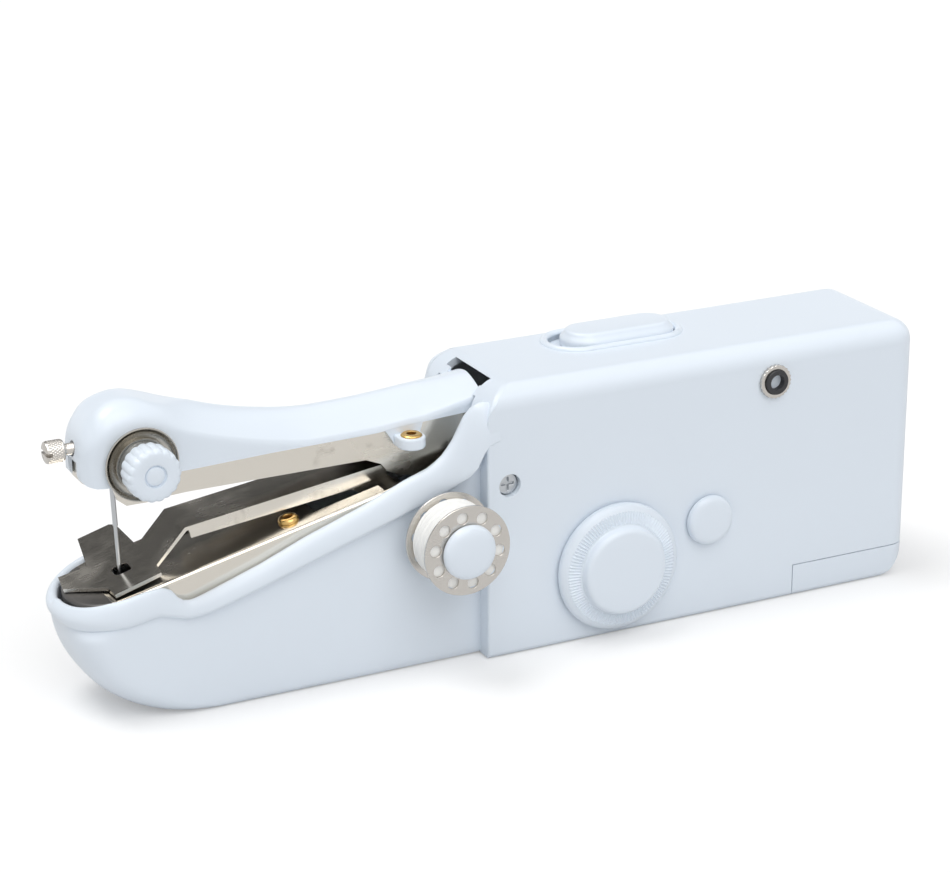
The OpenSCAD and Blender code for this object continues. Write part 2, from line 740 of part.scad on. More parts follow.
// Top line of the arm, from the front of the head to the mouth of the box
head_x = -88.8; // front of the head
head_wall = 1.1;
arm_top = [[head_x, 59.8], [-88.2, 62.4], [-87.2, 65], [-85.4, 67.4], [-83, 69],
  [-80.3, 69.9], [-77.4, 69.9], [-75, 69.3], [-70.9, 67.5], [-64.3, 64.6], [-55.3, 61.7],
  [-46.2, 59.7], [-36.9, 58.5], [-27.5, 58.5], [-17.9, 59], [-8.2, 59.9], [arm_rear_x, 61]];
// Lower edge of the arm cover, from the mouth back to the head
arm_low = [[arm_rear_x, 56.2], [-14.5, 55.3], [-22.5, 54.6], [-46.9, 54.2], [-67.8, 53.5],
  [-76, 52.9], [-86, 52.9], [-88, 53.8], [head_x, 56]];

module arm_plan(half, inset, rear = arm_rear_x + over)
  translate([0, 0, 20]) linear_extrude(60)
    rounded([head_x + inset, -half], [rear, half], [6 - inset, 0, 0, 6 - inset]);

module arm_cover() color("aliceblue") {
  half = arm_w / 2;
  in_half = half - arm_wall;
  difference() {
    union() {
      intersection() {
        along_y(-half, half) polygon(concat(arm_top, arm_low));
        arm_plan(half, 0);
      }
      // ledge for the thread eyelet, hung from the side wall
      translate([arm_eyelet_at[0], 0, ledge_z - ledge_h]) linear_extrude(ledge_h)
        slot2d([0, -half + 1], [0, arm_eyelet_at[1]], ledge_r);
      along_y(-half, -in_half) polygon([[arm_eyelet_at[0] - ledge_r - 2.5, 55.5],
        [arm_eyelet_at[0] - ledge_r + 0.2, ledge_z - ledge_h],
        [arm_eyelet_at[0] + ledge_r - 0.4, ledge_z - ledge_h], [arm_eyelet_at[0] + ledge_r + 1, 56]]);
    }
    difference() {
      intersection() {
        along_y(-in_half, in_half) polygon(concat(
          [for (p = arm_top) [p[0] < -70 ? p[0] + head_wall : p[0] + eps, p[1] - 1.2]],
          [[arm_rear_x + over, 60], [arm_rear_x + over, 40], [head_x + head_wall, 40]]));
        arm_plan(in_half, head_wall, arm_rear_x + 2 * over);
      }
      // ribs that rest on the steel web
      for (x = [-60, -28])
        box_between([x, -2, lookup(x + 1.2, web_line) + eps], [x + 1.2, 2, 70]);
    }
    // hole for the needle screw and the open slot below it
    translate([-92, needle_y, screw_z]) rotate([0, 90, 0]) cylinder(r = 1.7, h = 8);
    box_between([-92, needle_y - 2.5, 50], [channel_front - eps, needle_y + 2.5, 57.5]);
    rod_y(tension_at, 1.7, -half - over, 0);
    translate([arm_eyelet_at[0], arm_eyelet_at[1], 50]) cylinder(r = 1.7, h = 8);
  }
}

arm_eyelet_at = [-15, -arm_w / 2 - 2.3];
ledge_z = 53.7;
ledge_h = 2.7;
ledge_r = 3.1;
module arm_eyelet() color("goldenrod")
  translate([arm_eyelet_at[0], arm_eyelet_at[1], ledge_z])
    difference() {
      union() {
        rotate_extrude() polygon([[0, 0], [2.4, 0], [2.4, 0.2], [1.9, 0.55], [0, 0.55]]);
        translate([0, 0, -2.9]) cylinder(r = 1.69, h = 3);
      }
      cylinder(r = 1.1, h = 9, center = true);
    }

// Steel channel under the arm cover: top of its web from the mouth to the head
channel_inset = head_wall + run_gap; // from the front of the head
channel_front = head_x + channel_inset;
web_line = [[4, 56.6], [-14.5, 55.5], [-22.5, 54.9], [-46.9, 54.5], [-67.8, 53.9],
  [-72.5, 53.8], [-73.5, head_web_z]];
module channel_side() {
  polygon(concat([[channel_front, 58.3], [channel_front + 0.7, 61.2],
    [channel_front + 1.3, head_web_z]], [for (i = [6:-1:0]) web_line[i]],
    [arm_pivot + [3, 5], arm_pivot + [0, -5.4],
    [-6, 41.6], [-17, 43.9], [-19.4, 45.1], [-20.9, 47], [-24.5, 48.5], [-45, 48.7], [-66, 48.4],
    [-70, 48.2], [-73.5, 47.6], [-79.5, 47.6], [-81.5, 49.2], [-82.5, 52.4],
    [channel_front, 52.6]]));
  translate(arm_pivot) circle(5.5);
}

module arm_channel() color("silver")
  difference() {
    union() {
      difference() {
        intersection() {
          along_y(-plate_out, plate_out) channel_side();
          arm_plan(plate_out, channel_inset, 30);
        }
        intersection() {
          along_y(-plate_in, plate_in) polygon(concat([[30, 20], [30, web_line[0][1] - sheet]],
            [for (i = [0:6]) web_line[i] - [i > 4 ? sheet : 0, sheet]],
            [[channel_front, head_web_z - sheet], [channel_front, 20]]));
          arm_plan(plate_in, channel_inset + sheet, 30 + over);
        }
      }
      // slotted tail driven by the crank pin
      along_y(-plate_out, -plate_in) translate(arm_pivot) rotate(tail_dir)
        slot2d([0, 0], [tail_len + 1, 0], 4.6);
    }
    along_y(-plate_out - over, -plate_in + 0.2) translate(arm_pivot) rotate(tail_dir)
      slot2d([tail_len - crank_r - 0.6, 0], [tail_len + 0.8, 0], crank_pin_r + 0.1);
    rod_y(arm_pivot, arm_pin_r + run_gap, -nose_half, nose_half);
    rod_y(tension_at, 1.5 + eps, -nose_half, 0);
    // the web is open round the needle clamp
    box_between([clamp_x - 2.6, -plate_in, head_web_z - 3], [clamp_x + 2.6, plate_in, head_web_z + over]);
    translate([channel_front - over, needle_y, screw_z]) rotate([0, 90, 0])
      cylinder(r = 1.5, h = 2 * over + sheet);
  }

module arm_pin() color("silver")
  rod_y(arm_pivot, arm_pin_r, -bed_half, bed_half);

// Places its children in the leaning frame of the needle, origin at the clamp
module needle_frame()
  translate([clamp_x, needle_y, clamp_z]) rotate([0, -needle_lean, 0]) children();

needle_tip = 28;
module needle() color("silver")
  needle_frame() {
    len = clamp_z - needle_tip;
    translate([0, 0, -15]) cylinder(r = needle_r, h = 21);
    translate([0, 0, -len + 4]) cylinder(r = needle_r * 0.75, h = len - 19 + eps);
    translate([0, 0, -len]) cylinder(r1 = 0.05, r2 = needle_r * 0.75, h = 4 + eps);
  }

module needle_clamp() color("silver")
  difference() {
    box_between([clamp_x - 2.4, -plate_in, clamp_z - 3.5], [clamp_x + 2.4, plate_in, screw_z + 2.4]);
    needle_frame() cylinder(r = needle_r + eps, h = 30, center = true);
    translate([clamp_x - 4, needle_y, screw_z]) rotate([0, 90, 0]) cylinder(r = 1.3 + run_gap, h = 3.8);
  }

screw_head_x = -94.7;
module needle_screw() color("silver")
  difference() {
    translate([0, needle_y, screw_z]) rotate([0, 90, 0]) {
      translate([0, 0, screw_head_x]) rotate_extrude()
        polygon([[0, 0], [2, 0], [2.5, 0.6], [2.5, 3.6], [2, 4.2], [1.25, 4.2], [1.25, 5], [0, 5]]);
      translate([0, 0, screw_head_x + 5 - eps])
        cylinder(r = 1.3, h = clamp_x - needle_r - pass_gap - screw_head_x - 5);
    }
    box_between([screw_head_x - over, needle_y - 3, screw_z - 0.4], [screw_head_x + 1.2, needle_y + 3, screw_z + 0.4]);
  }

// ---- thread tension ----

tension_y = -arm_w / 2;
knob_y0 = tension_y - 3.9;
knob_y1 = tension_y - 9.6;
module tension_stud() color("silver")
  rod_y(tension_at, 1.5, knob_y1 + 1.2, -plate_in);

module tension_discs() color("silver") {
  turned_y(tension_at, tension_y - 0.05) polygon([[1.55, 0], [7.2, 0], [8.1, 0.9], [8.1, 1.5],
    [7.6, 1.5], [6.9, 0.7], [1.55, 0.7]]);
  turned_y(tension_at, tension_y - 0.8) polygon([[1.55, 0], [4.8, 0], [5.8, 0.9], [5.8, 1.2],
    [5.3, 1.2], [4.6, 0.6], [1.55, 0.6]]);
}

module tension_spring() color("silver") {
  coils = 4;
  height = 2.4;
  step = height / coils;
  turned_y(tension_at, tension_y - 1.45) polygon(concat([[1.7, 0]],
    [for (i = [0:coils - 1]) each [[4 - i * 0.35, step * i], [4 - i * 0.35, step * (i + 0.6)],
      [3.5 - i * 0.35, step * (i + 0.65)], [3.5 - i * 0.35, step * (i + 0.95)]]],
    [[1.7, height]]));
}

knob_r = 5.8;
module tension_knob() color("aliceblue")
  difference() {
    union() {
      along_y(knob_y1 + 0.5, knob_y0) translate(tension_at)
        polygon([for (a = [0:2.5:357.5]) (knob_r - 0.2 + 0.25 * cos(18 * a)) * [cos(a), sin(a)]]);
      rod_y(tension_at, knob_r - 0.6, knob_y1, knob_y0);
    }
    difference() {
      rod_y(tension_at, 2, knob_y1 - over, knob_y1 + 0.6);
      rod_y(tension_at, 1.75, knob_y1 + 0.1, knob_y1 + 0.8);
    }
    rod_y(tension_at, 1.5 + run_gap, knob_y1 + 1.1, knob_y0 + over);
  }

// ---- bobbin ----

module bobbin_post() color("aliceblue") {
  rod_y(bobbin_at, 5, bobbin_y0 + pass_gap, -nose_half);
  rod_y(bobbin_at, post_r, bobbin_y1 - 0.2, bobbin_y0 + pass_gap + eps);
  rod_y(bobbin_at, 1.55, -nose_half - eps, -nose_in + 1.6);
}

module bobbin_clip() color("silver")
  tube_y(bobbin_at, 2.2, 1.55, -nose_in, -nose_in + 0.7);

hole_ring_r = 7.7;
hole_phase = -9;
hole_r = 1.35;
module bobbin() color("silver") {
  flange = 0.6;
  for (y = [bobbin_y0, bobbin_y1 + flange])
    difference() {
      tube_y(bobbin_at, bobbin_r, bobbin_bore, y - flange, y);
      for (i = [0:9])
        rod_y(bobbin_at + hole_ring_r * [cos(36 * i + hole_phase), sin(36 * i + hole_phase)], hole_r, y - flange - over, y + over);
    }
  tube_y(bobbin_at, bobbin_bore + 0.9, bobbin_bore, bobbin_y1 + eps, bobbin_y0 - eps);
}

module bobbin_thread() color("white")
  tube_y(bobbin_at, bobbin_r - 1.1, bobbin_bore + 0.91, bobbin_y1 + 0.62, bobbin_y0 - 0.62);

module bobbin_cap() color("aliceblue")
  turned_y(bobbin_at, bobbin_y1 - 0.2) polygon([[0, 0], [5.6, 0], [6.2, 0.5], [6.1, 1.2],
    [5.2, 1.9], [3, 2.4], [0, 2.6]]);

front_shell();
back_cover();
battery_cover();
housing_screws();
nose_screw();
aa_cells();
roof_contacts();
cover_contacts();
motor_can();
motor_bracket();
motor_pinion();
winder_gear();
winder_shaft();
winder_disc();
drive_shaft();
drive_gear();
hand_wheel();
switch_button();
switch_body();
dc_jack();
jack_nut();
bed_plate();
bed_eyelet();
presser_plate();
presser_pin();
presser_spring();
arm_channel();
arm_cover();
arm_eyelet();
arm_pin();
needle();
needle_clamp();
needle_screw();
tension_stud();
tension_discs();
tension_spring();
tension_knob();
bobbin_post();
bobbin_clip();
bobbin();
bobbin_thread();
bobbin_cap();
looper();
looper_pin();
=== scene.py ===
import bpy
import bmesh
import json
import math
from mathutils import Vector, Matrix


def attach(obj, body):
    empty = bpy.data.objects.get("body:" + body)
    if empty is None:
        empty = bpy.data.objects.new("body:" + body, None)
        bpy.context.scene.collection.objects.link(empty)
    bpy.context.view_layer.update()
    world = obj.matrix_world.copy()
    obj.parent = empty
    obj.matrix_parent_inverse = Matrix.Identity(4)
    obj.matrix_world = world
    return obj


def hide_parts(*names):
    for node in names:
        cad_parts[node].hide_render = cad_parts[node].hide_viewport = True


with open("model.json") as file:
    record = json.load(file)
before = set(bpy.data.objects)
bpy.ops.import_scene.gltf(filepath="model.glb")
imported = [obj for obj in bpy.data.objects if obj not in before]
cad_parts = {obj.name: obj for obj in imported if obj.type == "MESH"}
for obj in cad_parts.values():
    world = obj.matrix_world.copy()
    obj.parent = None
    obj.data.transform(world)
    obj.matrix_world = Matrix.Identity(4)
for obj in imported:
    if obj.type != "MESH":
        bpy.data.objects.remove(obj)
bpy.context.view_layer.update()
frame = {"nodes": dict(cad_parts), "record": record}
cadNodes = frame["nodes"]
mm = 0.001


def resample(points, count):
    # smooth curve through the points, evenly stepped along its length
    pts = [Vector(p) for p in points]
    between = 12
    dense = []
    for i in range(len(pts) - 1):
        a, b = pts[max(i - 1, 0)], pts[i]
        c, d = pts[i + 1], pts[min(i + 2, len(pts) - 1)]
        for k in range(between):
            t = k / between
            dense.append(0.5 * (2 * b + (c - a) * t + (2 * a - 5 * b + 4 * c - d) * t * t
                                + (3 * b - a - 3 * c + d) * t ** 3))
    dense.append(pts[-1])
    runs = [0.0]
    for i in range(1, len(dense)):
        runs.append(runs[-1] + (dense[i] - dense[i - 1]).length)
    out, j = [], 0
    for i in range(count):
        at = runs[-1] * i / (count - 1)
        while j < len(runs) - 2 and runs[j + 1] < at:
            j += 1
        span = max(runs[j + 1] - runs[j], 1e-9)
        out.append(dense[j].lerp(dense[j + 1], (at - runs[j]) / span))
    return out


def heightAt(points, x):
    # height of a polyline over x
    pts = sorted(points)
    if x <= pts[0][0]:
        return pts[0][1]
    for a, b in zip(pts, pts[1:]):
        if x <= b[0]:
            return a[1] + (b[1] - a[1]) * (x - a[0]) / (b[0] - a[0])
    return pts[-1][1]


def newObject(name, verts, faces):
    mesh = bpy.data.meshes.new(name)
    mesh.from_pydata([tuple(c * mm for c in v) for v in verts], [], faces)
    mesh.validate()
    obj = bpy.data.objects.new(name, mesh)
    bpy.context.scene.collection.objects.link(obj)
    tidyNormals(obj)
    return obj


def tidyNormals(obj, angle=32):
    # outward normals, smooth faces, sharp edges where the surface turns hard
    bm = bmesh.new()
    bm.from_mesh(obj.data)
    bmesh.ops.remove_doubles(bm, verts=bm.verts, dist=1e-7)
    bmesh.ops.recalc_face_normals(bm, faces=bm.faces)
    for f in bm.faces:
        f.smooth = True
    for e in bm.edges:
        e.smooth = not (len(e.link_faces) != 2 or e.calc_face_angle(0) > math.radians(angle))
    bm.to_mesh(obj.data)
    bm.free()


def gridFaces(rows, cols, wrapCols=False):
    faces = []
    for i in range(rows - 1):
        for j in range(cols if wrapCols else cols - 1):
            a, b = i * cols + j, i * cols + (j + 1) % cols
            faces.append((a, b, b + cols, a + cols))
    return faces


def lathe(name, at, profile, steps=96):
    # profile of (radius, y) turned about an axis along Y through at = (x, z)
    verts = []
    for r, y in profile:
        for k in range(steps):
            a = 2 * math.pi * k / steps
            verts.append((at[0] + r * math.cos(a), y, at[1] + r * math.sin(a)))
    return newObject(name, verts, gridFaces(len(profile), steps, wrapCols=True))


def applyModifiers(obj):
    bpy.context.view_layer.update()
    done = obj.evaluated_get(bpy.context.evaluated_depsgraph_get())
    mesh = bpy.data.meshes.new_from_object(done)
    obj.modifiers.clear()
    obj.data = mesh
    return obj


def cut(obj, cutter, operation="DIFFERENCE"):
    mod = obj.modifiers.new("cut", "BOOLEAN")
    mod.operation = operation
    mod.solver = "EXACT"
    mod.object = cutter
    applyModifiers(obj)
    bpy.data.objects.remove(cutter)


def roundEdges(obj, width, segments=2, angle=35):
    # small round on every hard edge, with the flat faces kept flat
    mod = obj.modifiers.new("edges", "BEVEL")
    mod.width = width * mm
    mod.segments = segments
    mod.limit_method = "ANGLE"
    mod.angle_limit = math.radians(angle)
    mod.use_clamp_overlap = True
    mod.miter_outer = "MITER_ARC"
    applyModifiers(obj)
    tidyNormals(obj, 50)
    obj.modifiers.new("flat", "WEIGHTED_NORMAL").keep_sharp = True
    applyModifiers(obj)


def boxCutter(lo, hi, name="cutter"):
    verts = [(x, y, z) for x in (lo[0], hi[0]) for y in (lo[1], hi[1]) for z in (lo[2], hi[2])]
    faces = [(0, 1, 3, 2), (4, 6, 7, 5), (0, 4, 5, 1), (2, 3, 7, 6), (0, 2, 6, 4), (1, 5, 7, 3)]
    return newObject(name, verts, faces)


def prism(name, outline, axis, lo, hi):
    # closed outline of (u, v) pushed along an axis: "y" takes (x, z), "x" takes (y, z), "z" takes (x, y)
    order = {"y": lambda u, v, w: (u, w, v), "x": lambda u, v, w: (w, u, v),
             "z": lambda u, v, w: (u, v, w)}[axis]
    n = len(outline)
    verts = [order(u, v, w) for w in (lo, hi) for u, v in outline]
    faces = [tuple(range(n)), tuple(range(2 * n - 1, n - 1, -1))]
    faces += [(k, (k + 1) % n, n + (k + 1) % n, n + k) for k in range(n)]
    return newObject(name, verts, faces)


def slotOutline(x0, x1, y, r, steps=20):
    out = []
    for k in range(steps + 1):
        a = math.pi / 2 + math.pi * k / steps
        out.append((x0 + r * math.cos(a), y + r * math.sin(a)))
    for k in range(steps + 1):
        a = -math.pi / 2 + math.pi * k / steps
        out.append((x1 + r * math.cos(a), y + r * math.sin(a)))
    return out


def ringOutline(at, r, steps=40):
    return [(at[0] + r * math.cos(2 * math.pi * k / steps), at[1] + r * math.sin(2 * math.pi * k / steps))
            for k in range(steps)]


print("frame loaded")

view = {"centre": (-0.2554, -0.5228, 0.2571), "azimuth": -26.547, "elevation": 19.801, "roll": -0.237,
        "lens": 104.78}


def makeCamera():
    az, el, roll = (math.radians(view[k]) for k in ("azimuth", "elevation", "roll"))
    back = Vector((math.sin(az) * math.cos(el), -math.cos(az) * math.cos(el), math.sin(el)))
    right = Vector((math.cos(az), math.sin(az), 0))
    up = back.cross(right)
    side = right * math.cos(roll) + up * math.sin(roll)
    high = up * math.cos(roll) - right * math.sin(roll)
    data = bpy.data.cameras.new("camera")
    data.lens, data.sensor_width, data.sensor_fit = view["lens"], 36, "HORIZONTAL"
    data.clip_start, data.clip_end = 0.01, 20
    cam = bpy.data.objects.new("camera", data)
    turn = Matrix((side, high, back)).transposed().to_4x4()
    cam.matrix_world = Matrix.Translation(view["centre"]) @ turn
    bpy.context.scene.collection.objects.link(cam)
    bpy.context.scene.camera = cam


makeCamera()
print("camera set")

finishes = {
    "whitePlastic": {"colour": (0.775, 0.845, 0.925), "roughness": 0.30, "grain": 0.05},
    "steel": {"colour": (0.76, 0.72, 0.65), "roughness": 0.19, "lines": 0.12},
    "zinc": {"colour": (0.58, 0.60, 0.62), "roughness": 0.34, "lines": 0.2},
    # darker nickel for the tension discs: painted shade in the hollow of the dish
    "shadedDishNickel": {"colour": (0.5, 0.48, 0.44), "roughness": 0.2, "lines": 0.1},
    # near-black steel, painted on the sheets' undersides and on the bed's end under the foot as shade
    "paintedShadeSteel": {"colour": (0.16, 0.155, 0.15), "roughness": 0.45, "lines": 0.1},
    "nickel": {"colour": (0.64, 0.61, 0.57), "roughness": 0.22, "lines": 0.1},
    "brass": {"colour": (0.70, 0.46, 0.17), "roughness": 0.28, "lines": 0.15},
    "blackPlastic": {"colour": (0.03, 0.03, 0.033), "roughness": 0.5, "grain": 0.4},
    "nylon": {"colour": (0.78, 0.76, 0.68), "roughness": 0.45, "grain": 0.2},
    "cellJacket": {"colour": (0.05, 0.055, 0.065), "roughness": 0.3, "grain": 0.1},
    "thread": {"colour": (0.97, 0.965, 0.94), "roughness": 0.8},
}
surface = {"driftScale": 28, "grainScale": 2600, "roughDrift": 0.04, "lineStretch": (30, 1500, 1500),
           "smudgeScale": 60, "smudgeRange": (0.52, 0.68), "smudgeRough": 0.10,
           "spotScale": 240, "spotRange": (0.60, 0.72), "scuffColour": (0.32, 0.29, 0.26, 1),
           "coatRoughness": 0.22, "plasticBump": (0.25, 0.00004), "metalBump": (0.12, 0.00002),
           # threadGrooveShade: colour of the painted shade in the grooves of the wound thread
           "threadScale": 1150, "threadGrooveShade": (0.84, 0.84, 0.82, 1), "threadBump": (0.5, 0.0001)}


def startGroup(name, colour, **values):
    # group with a colour and number inputs, and outputs for colour, roughness and bump height
    g = bpy.data.node_groups.new(name, "ShaderNodeTree")
    g.interface.new_socket(name="Colour", in_out="INPUT", socket_type="NodeSocketColor").default_value = colour
    for key, value in values.items():
        g.interface.new_socket(name=key, in_out="INPUT", socket_type="NodeSocketFloat").default_value = value
    g.interface.new_socket(name="Colour", in_out="OUTPUT", socket_type="NodeSocketColor")
    for key in ("Roughness", "Height"):
        g.interface.new_socket(name=key, in_out="OUTPUT", socket_type="NodeSocketFloat")
    return g, g.nodes.new("NodeGroupInput"), g.nodes.new("NodeGroupOutput")


def feed(tree, target, value):
    # put a link or a plain value into a socket
    if isinstance(value, bpy.types.NodeSocket):
        tree.links.new(value, target)
    else:
        target.default_value = value


def mathNode(tree, operation, *values):
    node = tree.nodes.new("ShaderNodeMath")
    node.operation = operation
    for target, value in zip(node.inputs, values):
        feed(tree, target, value)
    return node.outputs[0]


def noise(tree, vector, scale, detail):
    tex = tree.nodes.new("ShaderNodeTexNoise")
    tex.inputs["Scale"].default_value = scale
    tex.inputs["Detail"].default_value = detail
    tree.links.new(vector, tex.inputs["Vector"])
    return tex.outputs["Fac"]


def mapRange(tree, value, low, high):
    node = tree.nodes.new("ShaderNodeMapRange")
    node.inputs["From Min"].default_value, node.inputs["From Max"].default_value = low, high
    tree.links.new(value, node.inputs["Value"])
    return node


def makeMottleGroup():
    # slow colour drift of a moulding, fine grain for the bump and a soft roughness change
    g, gin, gout = startGroup("mottle", (0.8, 0.8, 0.8, 1), Roughness=0.3, Grain=0.1, Drift=0.02)
    at = g.nodes.new("ShaderNodeTexCoord").outputs["Object"]
    centre = mathNode(g, "SUBTRACT", noise(g, at, surface["driftScale"], 3), 0.5)
    grain = noise(g, at, surface["grainScale"], 2)
    shade = g.nodes.new("ShaderNodeHueSaturation")
    feed(g, shade.inputs["Value"], mathNode(g, "MULTIPLY_ADD", centre, gin.outputs["Drift"], 1.0))
    feed(g, shade.inputs["Color"], gin.outputs["Colour"])
    rough = mathNode(g, "MULTIPLY_ADD", centre, surface["roughDrift"], gin.outputs["Roughness"])
    feed(g, gout.inputs["Colour"], shade.outputs["Color"])
    feed(g, gout.inputs["Roughness"], rough)
    feed(g, gout.inputs["Height"], mathNode(g, "MULTIPLY", grain, gin.outputs["Grain"]))
    return g


def makeRolledGroup():
    # rolling lines along X, handling smudges and small dark scuffs of bare sheet metal
    g, gin, gout = startGroup("rolled", (0.6, 0.6, 0.6, 1), Roughness=0.25, Lines=0.3, Scuffs=0.3)
    at = g.nodes.new("ShaderNodeTexCoord").outputs["Object"]
    stretch = g.nodes.new("ShaderNodeMapping")
    stretch.inputs["Scale"].default_value = surface["lineStretch"]
    feed(g, stretch.inputs["Vector"], at)
    lines = noise(g, stretch.outputs["Vector"], 1, 4)
    spots = mapRange(g, noise(g, at, surface["spotScale"], 5), *surface["spotRange"]).outputs["Result"]
    smudge = mapRange(g, noise(g, at, surface["smudgeScale"], 4), *surface["smudgeRange"]).outputs["Result"]
    dark = g.nodes.new("ShaderNodeMix")
    dark.data_type, dark.blend_type = "RGBA", "MULTIPLY"
    scuffs = mathNode(g, "MULTIPLY", mathNode(g, "MULTIPLY", spots, smudge), gin.outputs["Scuffs"])
    feed(g, dark.inputs[0], scuffs)
    feed(g, dark.inputs[6], gin.outputs["Colour"])
    dark.inputs[7].default_value = surface["scuffColour"]
    rough = mathNode(g, "MULTIPLY_ADD", mathNode(g, "SUBTRACT", lines, 0.5), gin.outputs["Lines"],
                     gin.outputs["Roughness"])
    feed(g, gout.inputs["Colour"], dark.outputs[2])
    feed(g, gout.inputs["Roughness"], mathNode(g, "MULTIPLY_ADD", smudge, surface["smudgeRough"], rough))
    feed(g, gout.inputs["Height"], lines)
    return g


mottleGroup = makeMottleGroup()
rolledGroup = makeRolledGroup()


def baseMaterial(name):
    mat = bpy.data.materials.new(name)
    mat.use_nodes = True
    return mat, mat.node_tree, mat.node_tree.nodes["Principled BSDF"]


def addBump(tree, shader, height, strength, distance):
    lump = tree.nodes.new("ShaderNodeBump")
    lump.inputs["Strength"].default_value = strength
    lump.inputs["Distance"].default_value = distance
    feed(tree, lump.inputs["Height"], height)
    feed(tree, shader.inputs["Normal"], lump.outputs["Normal"])


def addGroup(tree, shader, group, bump, **values):
    node = tree.nodes.new("ShaderNodeGroup")
    node.node_tree = group
    for key, value in values.items():
        node.inputs[key].default_value = value
    feed(tree, shader.inputs["Base Color"], node.outputs["Colour"])
    feed(tree, shader.inputs["Roughness"], node.outputs["Roughness"])
    addBump(tree, shader, node.outputs["Height"], *bump)


def plastic(name, drift=0.02, coat=0.12):
    f = finishes[name]
    mat, tree, shader = baseMaterial(name)
    addGroup(tree, shader, mottleGroup, surface["plasticBump"],
             Colour=(*f["colour"], 1), Roughness=f["roughness"], Grain=f["grain"], Drift=drift)
    shader.inputs["Coat Weight"].default_value = coat
    shader.inputs["Coat Roughness"].default_value = surface["coatRoughness"]
    return mat


def metal(name, scuffs=0.3):
    f = finishes[name]
    mat, tree, shader = baseMaterial(name)
    addGroup(tree, shader, rolledGroup, surface["metalBump"],
             Colour=(*f["colour"], 1), Roughness=f["roughness"], Lines=f["lines"], Scuffs=scuffs)
    shader.inputs["Metallic"].default_value = 1
    return mat


def threadMaterial():
    # wound thread: fine helix ribs from a wave along the bobbin's axis, darker in the grooves between them as
    # painted shade
    f = finishes["thread"]
    mat, tree, shader = baseMaterial("thread")
    wave = tree.nodes.new("ShaderNodeTexWave")
    wave.bands_direction = "Y"
    wave.inputs["Scale"].default_value = surface["threadScale"]
    wave.inputs["Distortion"].default_value = 1.2
    wave.inputs["Detail"].default_value = 2
    feed(tree, wave.inputs["Vector"], tree.nodes.new("ShaderNodeTexCoord").outputs["Object"])
    # the low part of the wave, the grooves, is painted darker as shade
    ramp = tree.nodes.new("ShaderNodeValToRGB")
    ramp.color_ramp.elements[0].color = surface["threadGrooveShade"]
    ramp.color_ramp.elements[1].color = (*f["colour"], 1)
    ramp.color_ramp.elements[1].position = 0.6
    feed(tree, ramp.inputs["Fac"], wave.outputs["Fac"])
    feed(tree, shader.inputs["Base Color"], ramp.outputs["Color"])
    addBump(tree, shader, wave.outputs["Fac"], *surface["threadBump"])
    shader.inputs["Roughness"].default_value = f["roughness"]
    shader.inputs["Sheen Weight"].default_value = 0.3
    return mat


materials = {
    "whitePlastic": plastic("whitePlastic"),
    "blackPlastic": plastic("blackPlastic", 0.1, 0.0),
    "nylon": plastic("nylon", 0.05, 0.0),
    "cellJacket": plastic("cellJacket", 0.1, 0.4),
    "steel": metal("steel"),
    "zinc": metal("zinc", 0.2),
    "nickel": metal("nickel", 0.15),
    "shadedDishNickel": metal("shadedDishNickel", 0.15),
    "paintedShadeSteel": metal("paintedShadeSteel", 0.5),
    "brass": metal("brass", 0.4),
    "thread": threadMaterial(),
}
slotMaterials = {"white_plastic": "whitePlastic", "polished_steel": "steel", "zinc_steel": "zinc",
                 "nickel": "nickel", "brass": "brass", "black_plastic": "blackPlastic",
                 "gear_nylon": "nylon", "cell_jacket": "cellJacket", "thread": "thread"}


def paint(obj, name):
    obj.data.materials.clear()
    obj.data.materials.append(materials[name])


for entry in frame["record"]["subparts"]:
    node = cadNodes[entry["node"]]
    node.data.materials.clear()
    node.data.materials.append(materials[slotMaterials[entry["material_slot"]]])
print("materials made")

studio = {"floorSize": 6.0, "floorLevel": -0.05, "floorTone": 0.72, "floorLift": 0.26,
          "worldStrength": 0.46, "roomStrength": 0.9, "panelStrength": 0.07,
          "darkPanel": [("Y", -0.1, 0.3), ("Z", 0.26, 0.37), ("Z", 0.70, 0.58)],
          "suns": [("keySun", (-0.30, 0.15, 1.0), 1.2, 28), ("fillSun", (-0.05, -0.8, 1.0), 1.15, 50)]}


def makeFloor():
    # pale floor, lifted to white for the camera alone so that it still takes the shadow
    far, level = studio["floorSize"] / mm, studio["floorLevel"]
    corners = [(-far, -far, level), (far, -far, level), (far, far, level), (-far, far, level)]
    floor = newObject("floor", corners, [(0, 1, 2, 3)])
    mat, tree, shader = baseMaterial("paleFloor")
    shader.inputs["Base Color"].default_value = (*[studio["floorTone"]] * 3, 1)
    shader.inputs["Roughness"].default_value = 0.9
    shader.inputs["Specular IOR Level"].default_value = 0.1
    shader.inputs["Emission Color"].default_value = (1, 1, 1, 1)
    path = tree.nodes.new("ShaderNodeLightPath")
    feed(tree, shader.inputs["Emission Strength"],
         mathNode(tree, "MULTIPLY", path.outputs["Is Camera Ray"], studio["floorLift"]))
    floor.data.materials.append(mat)


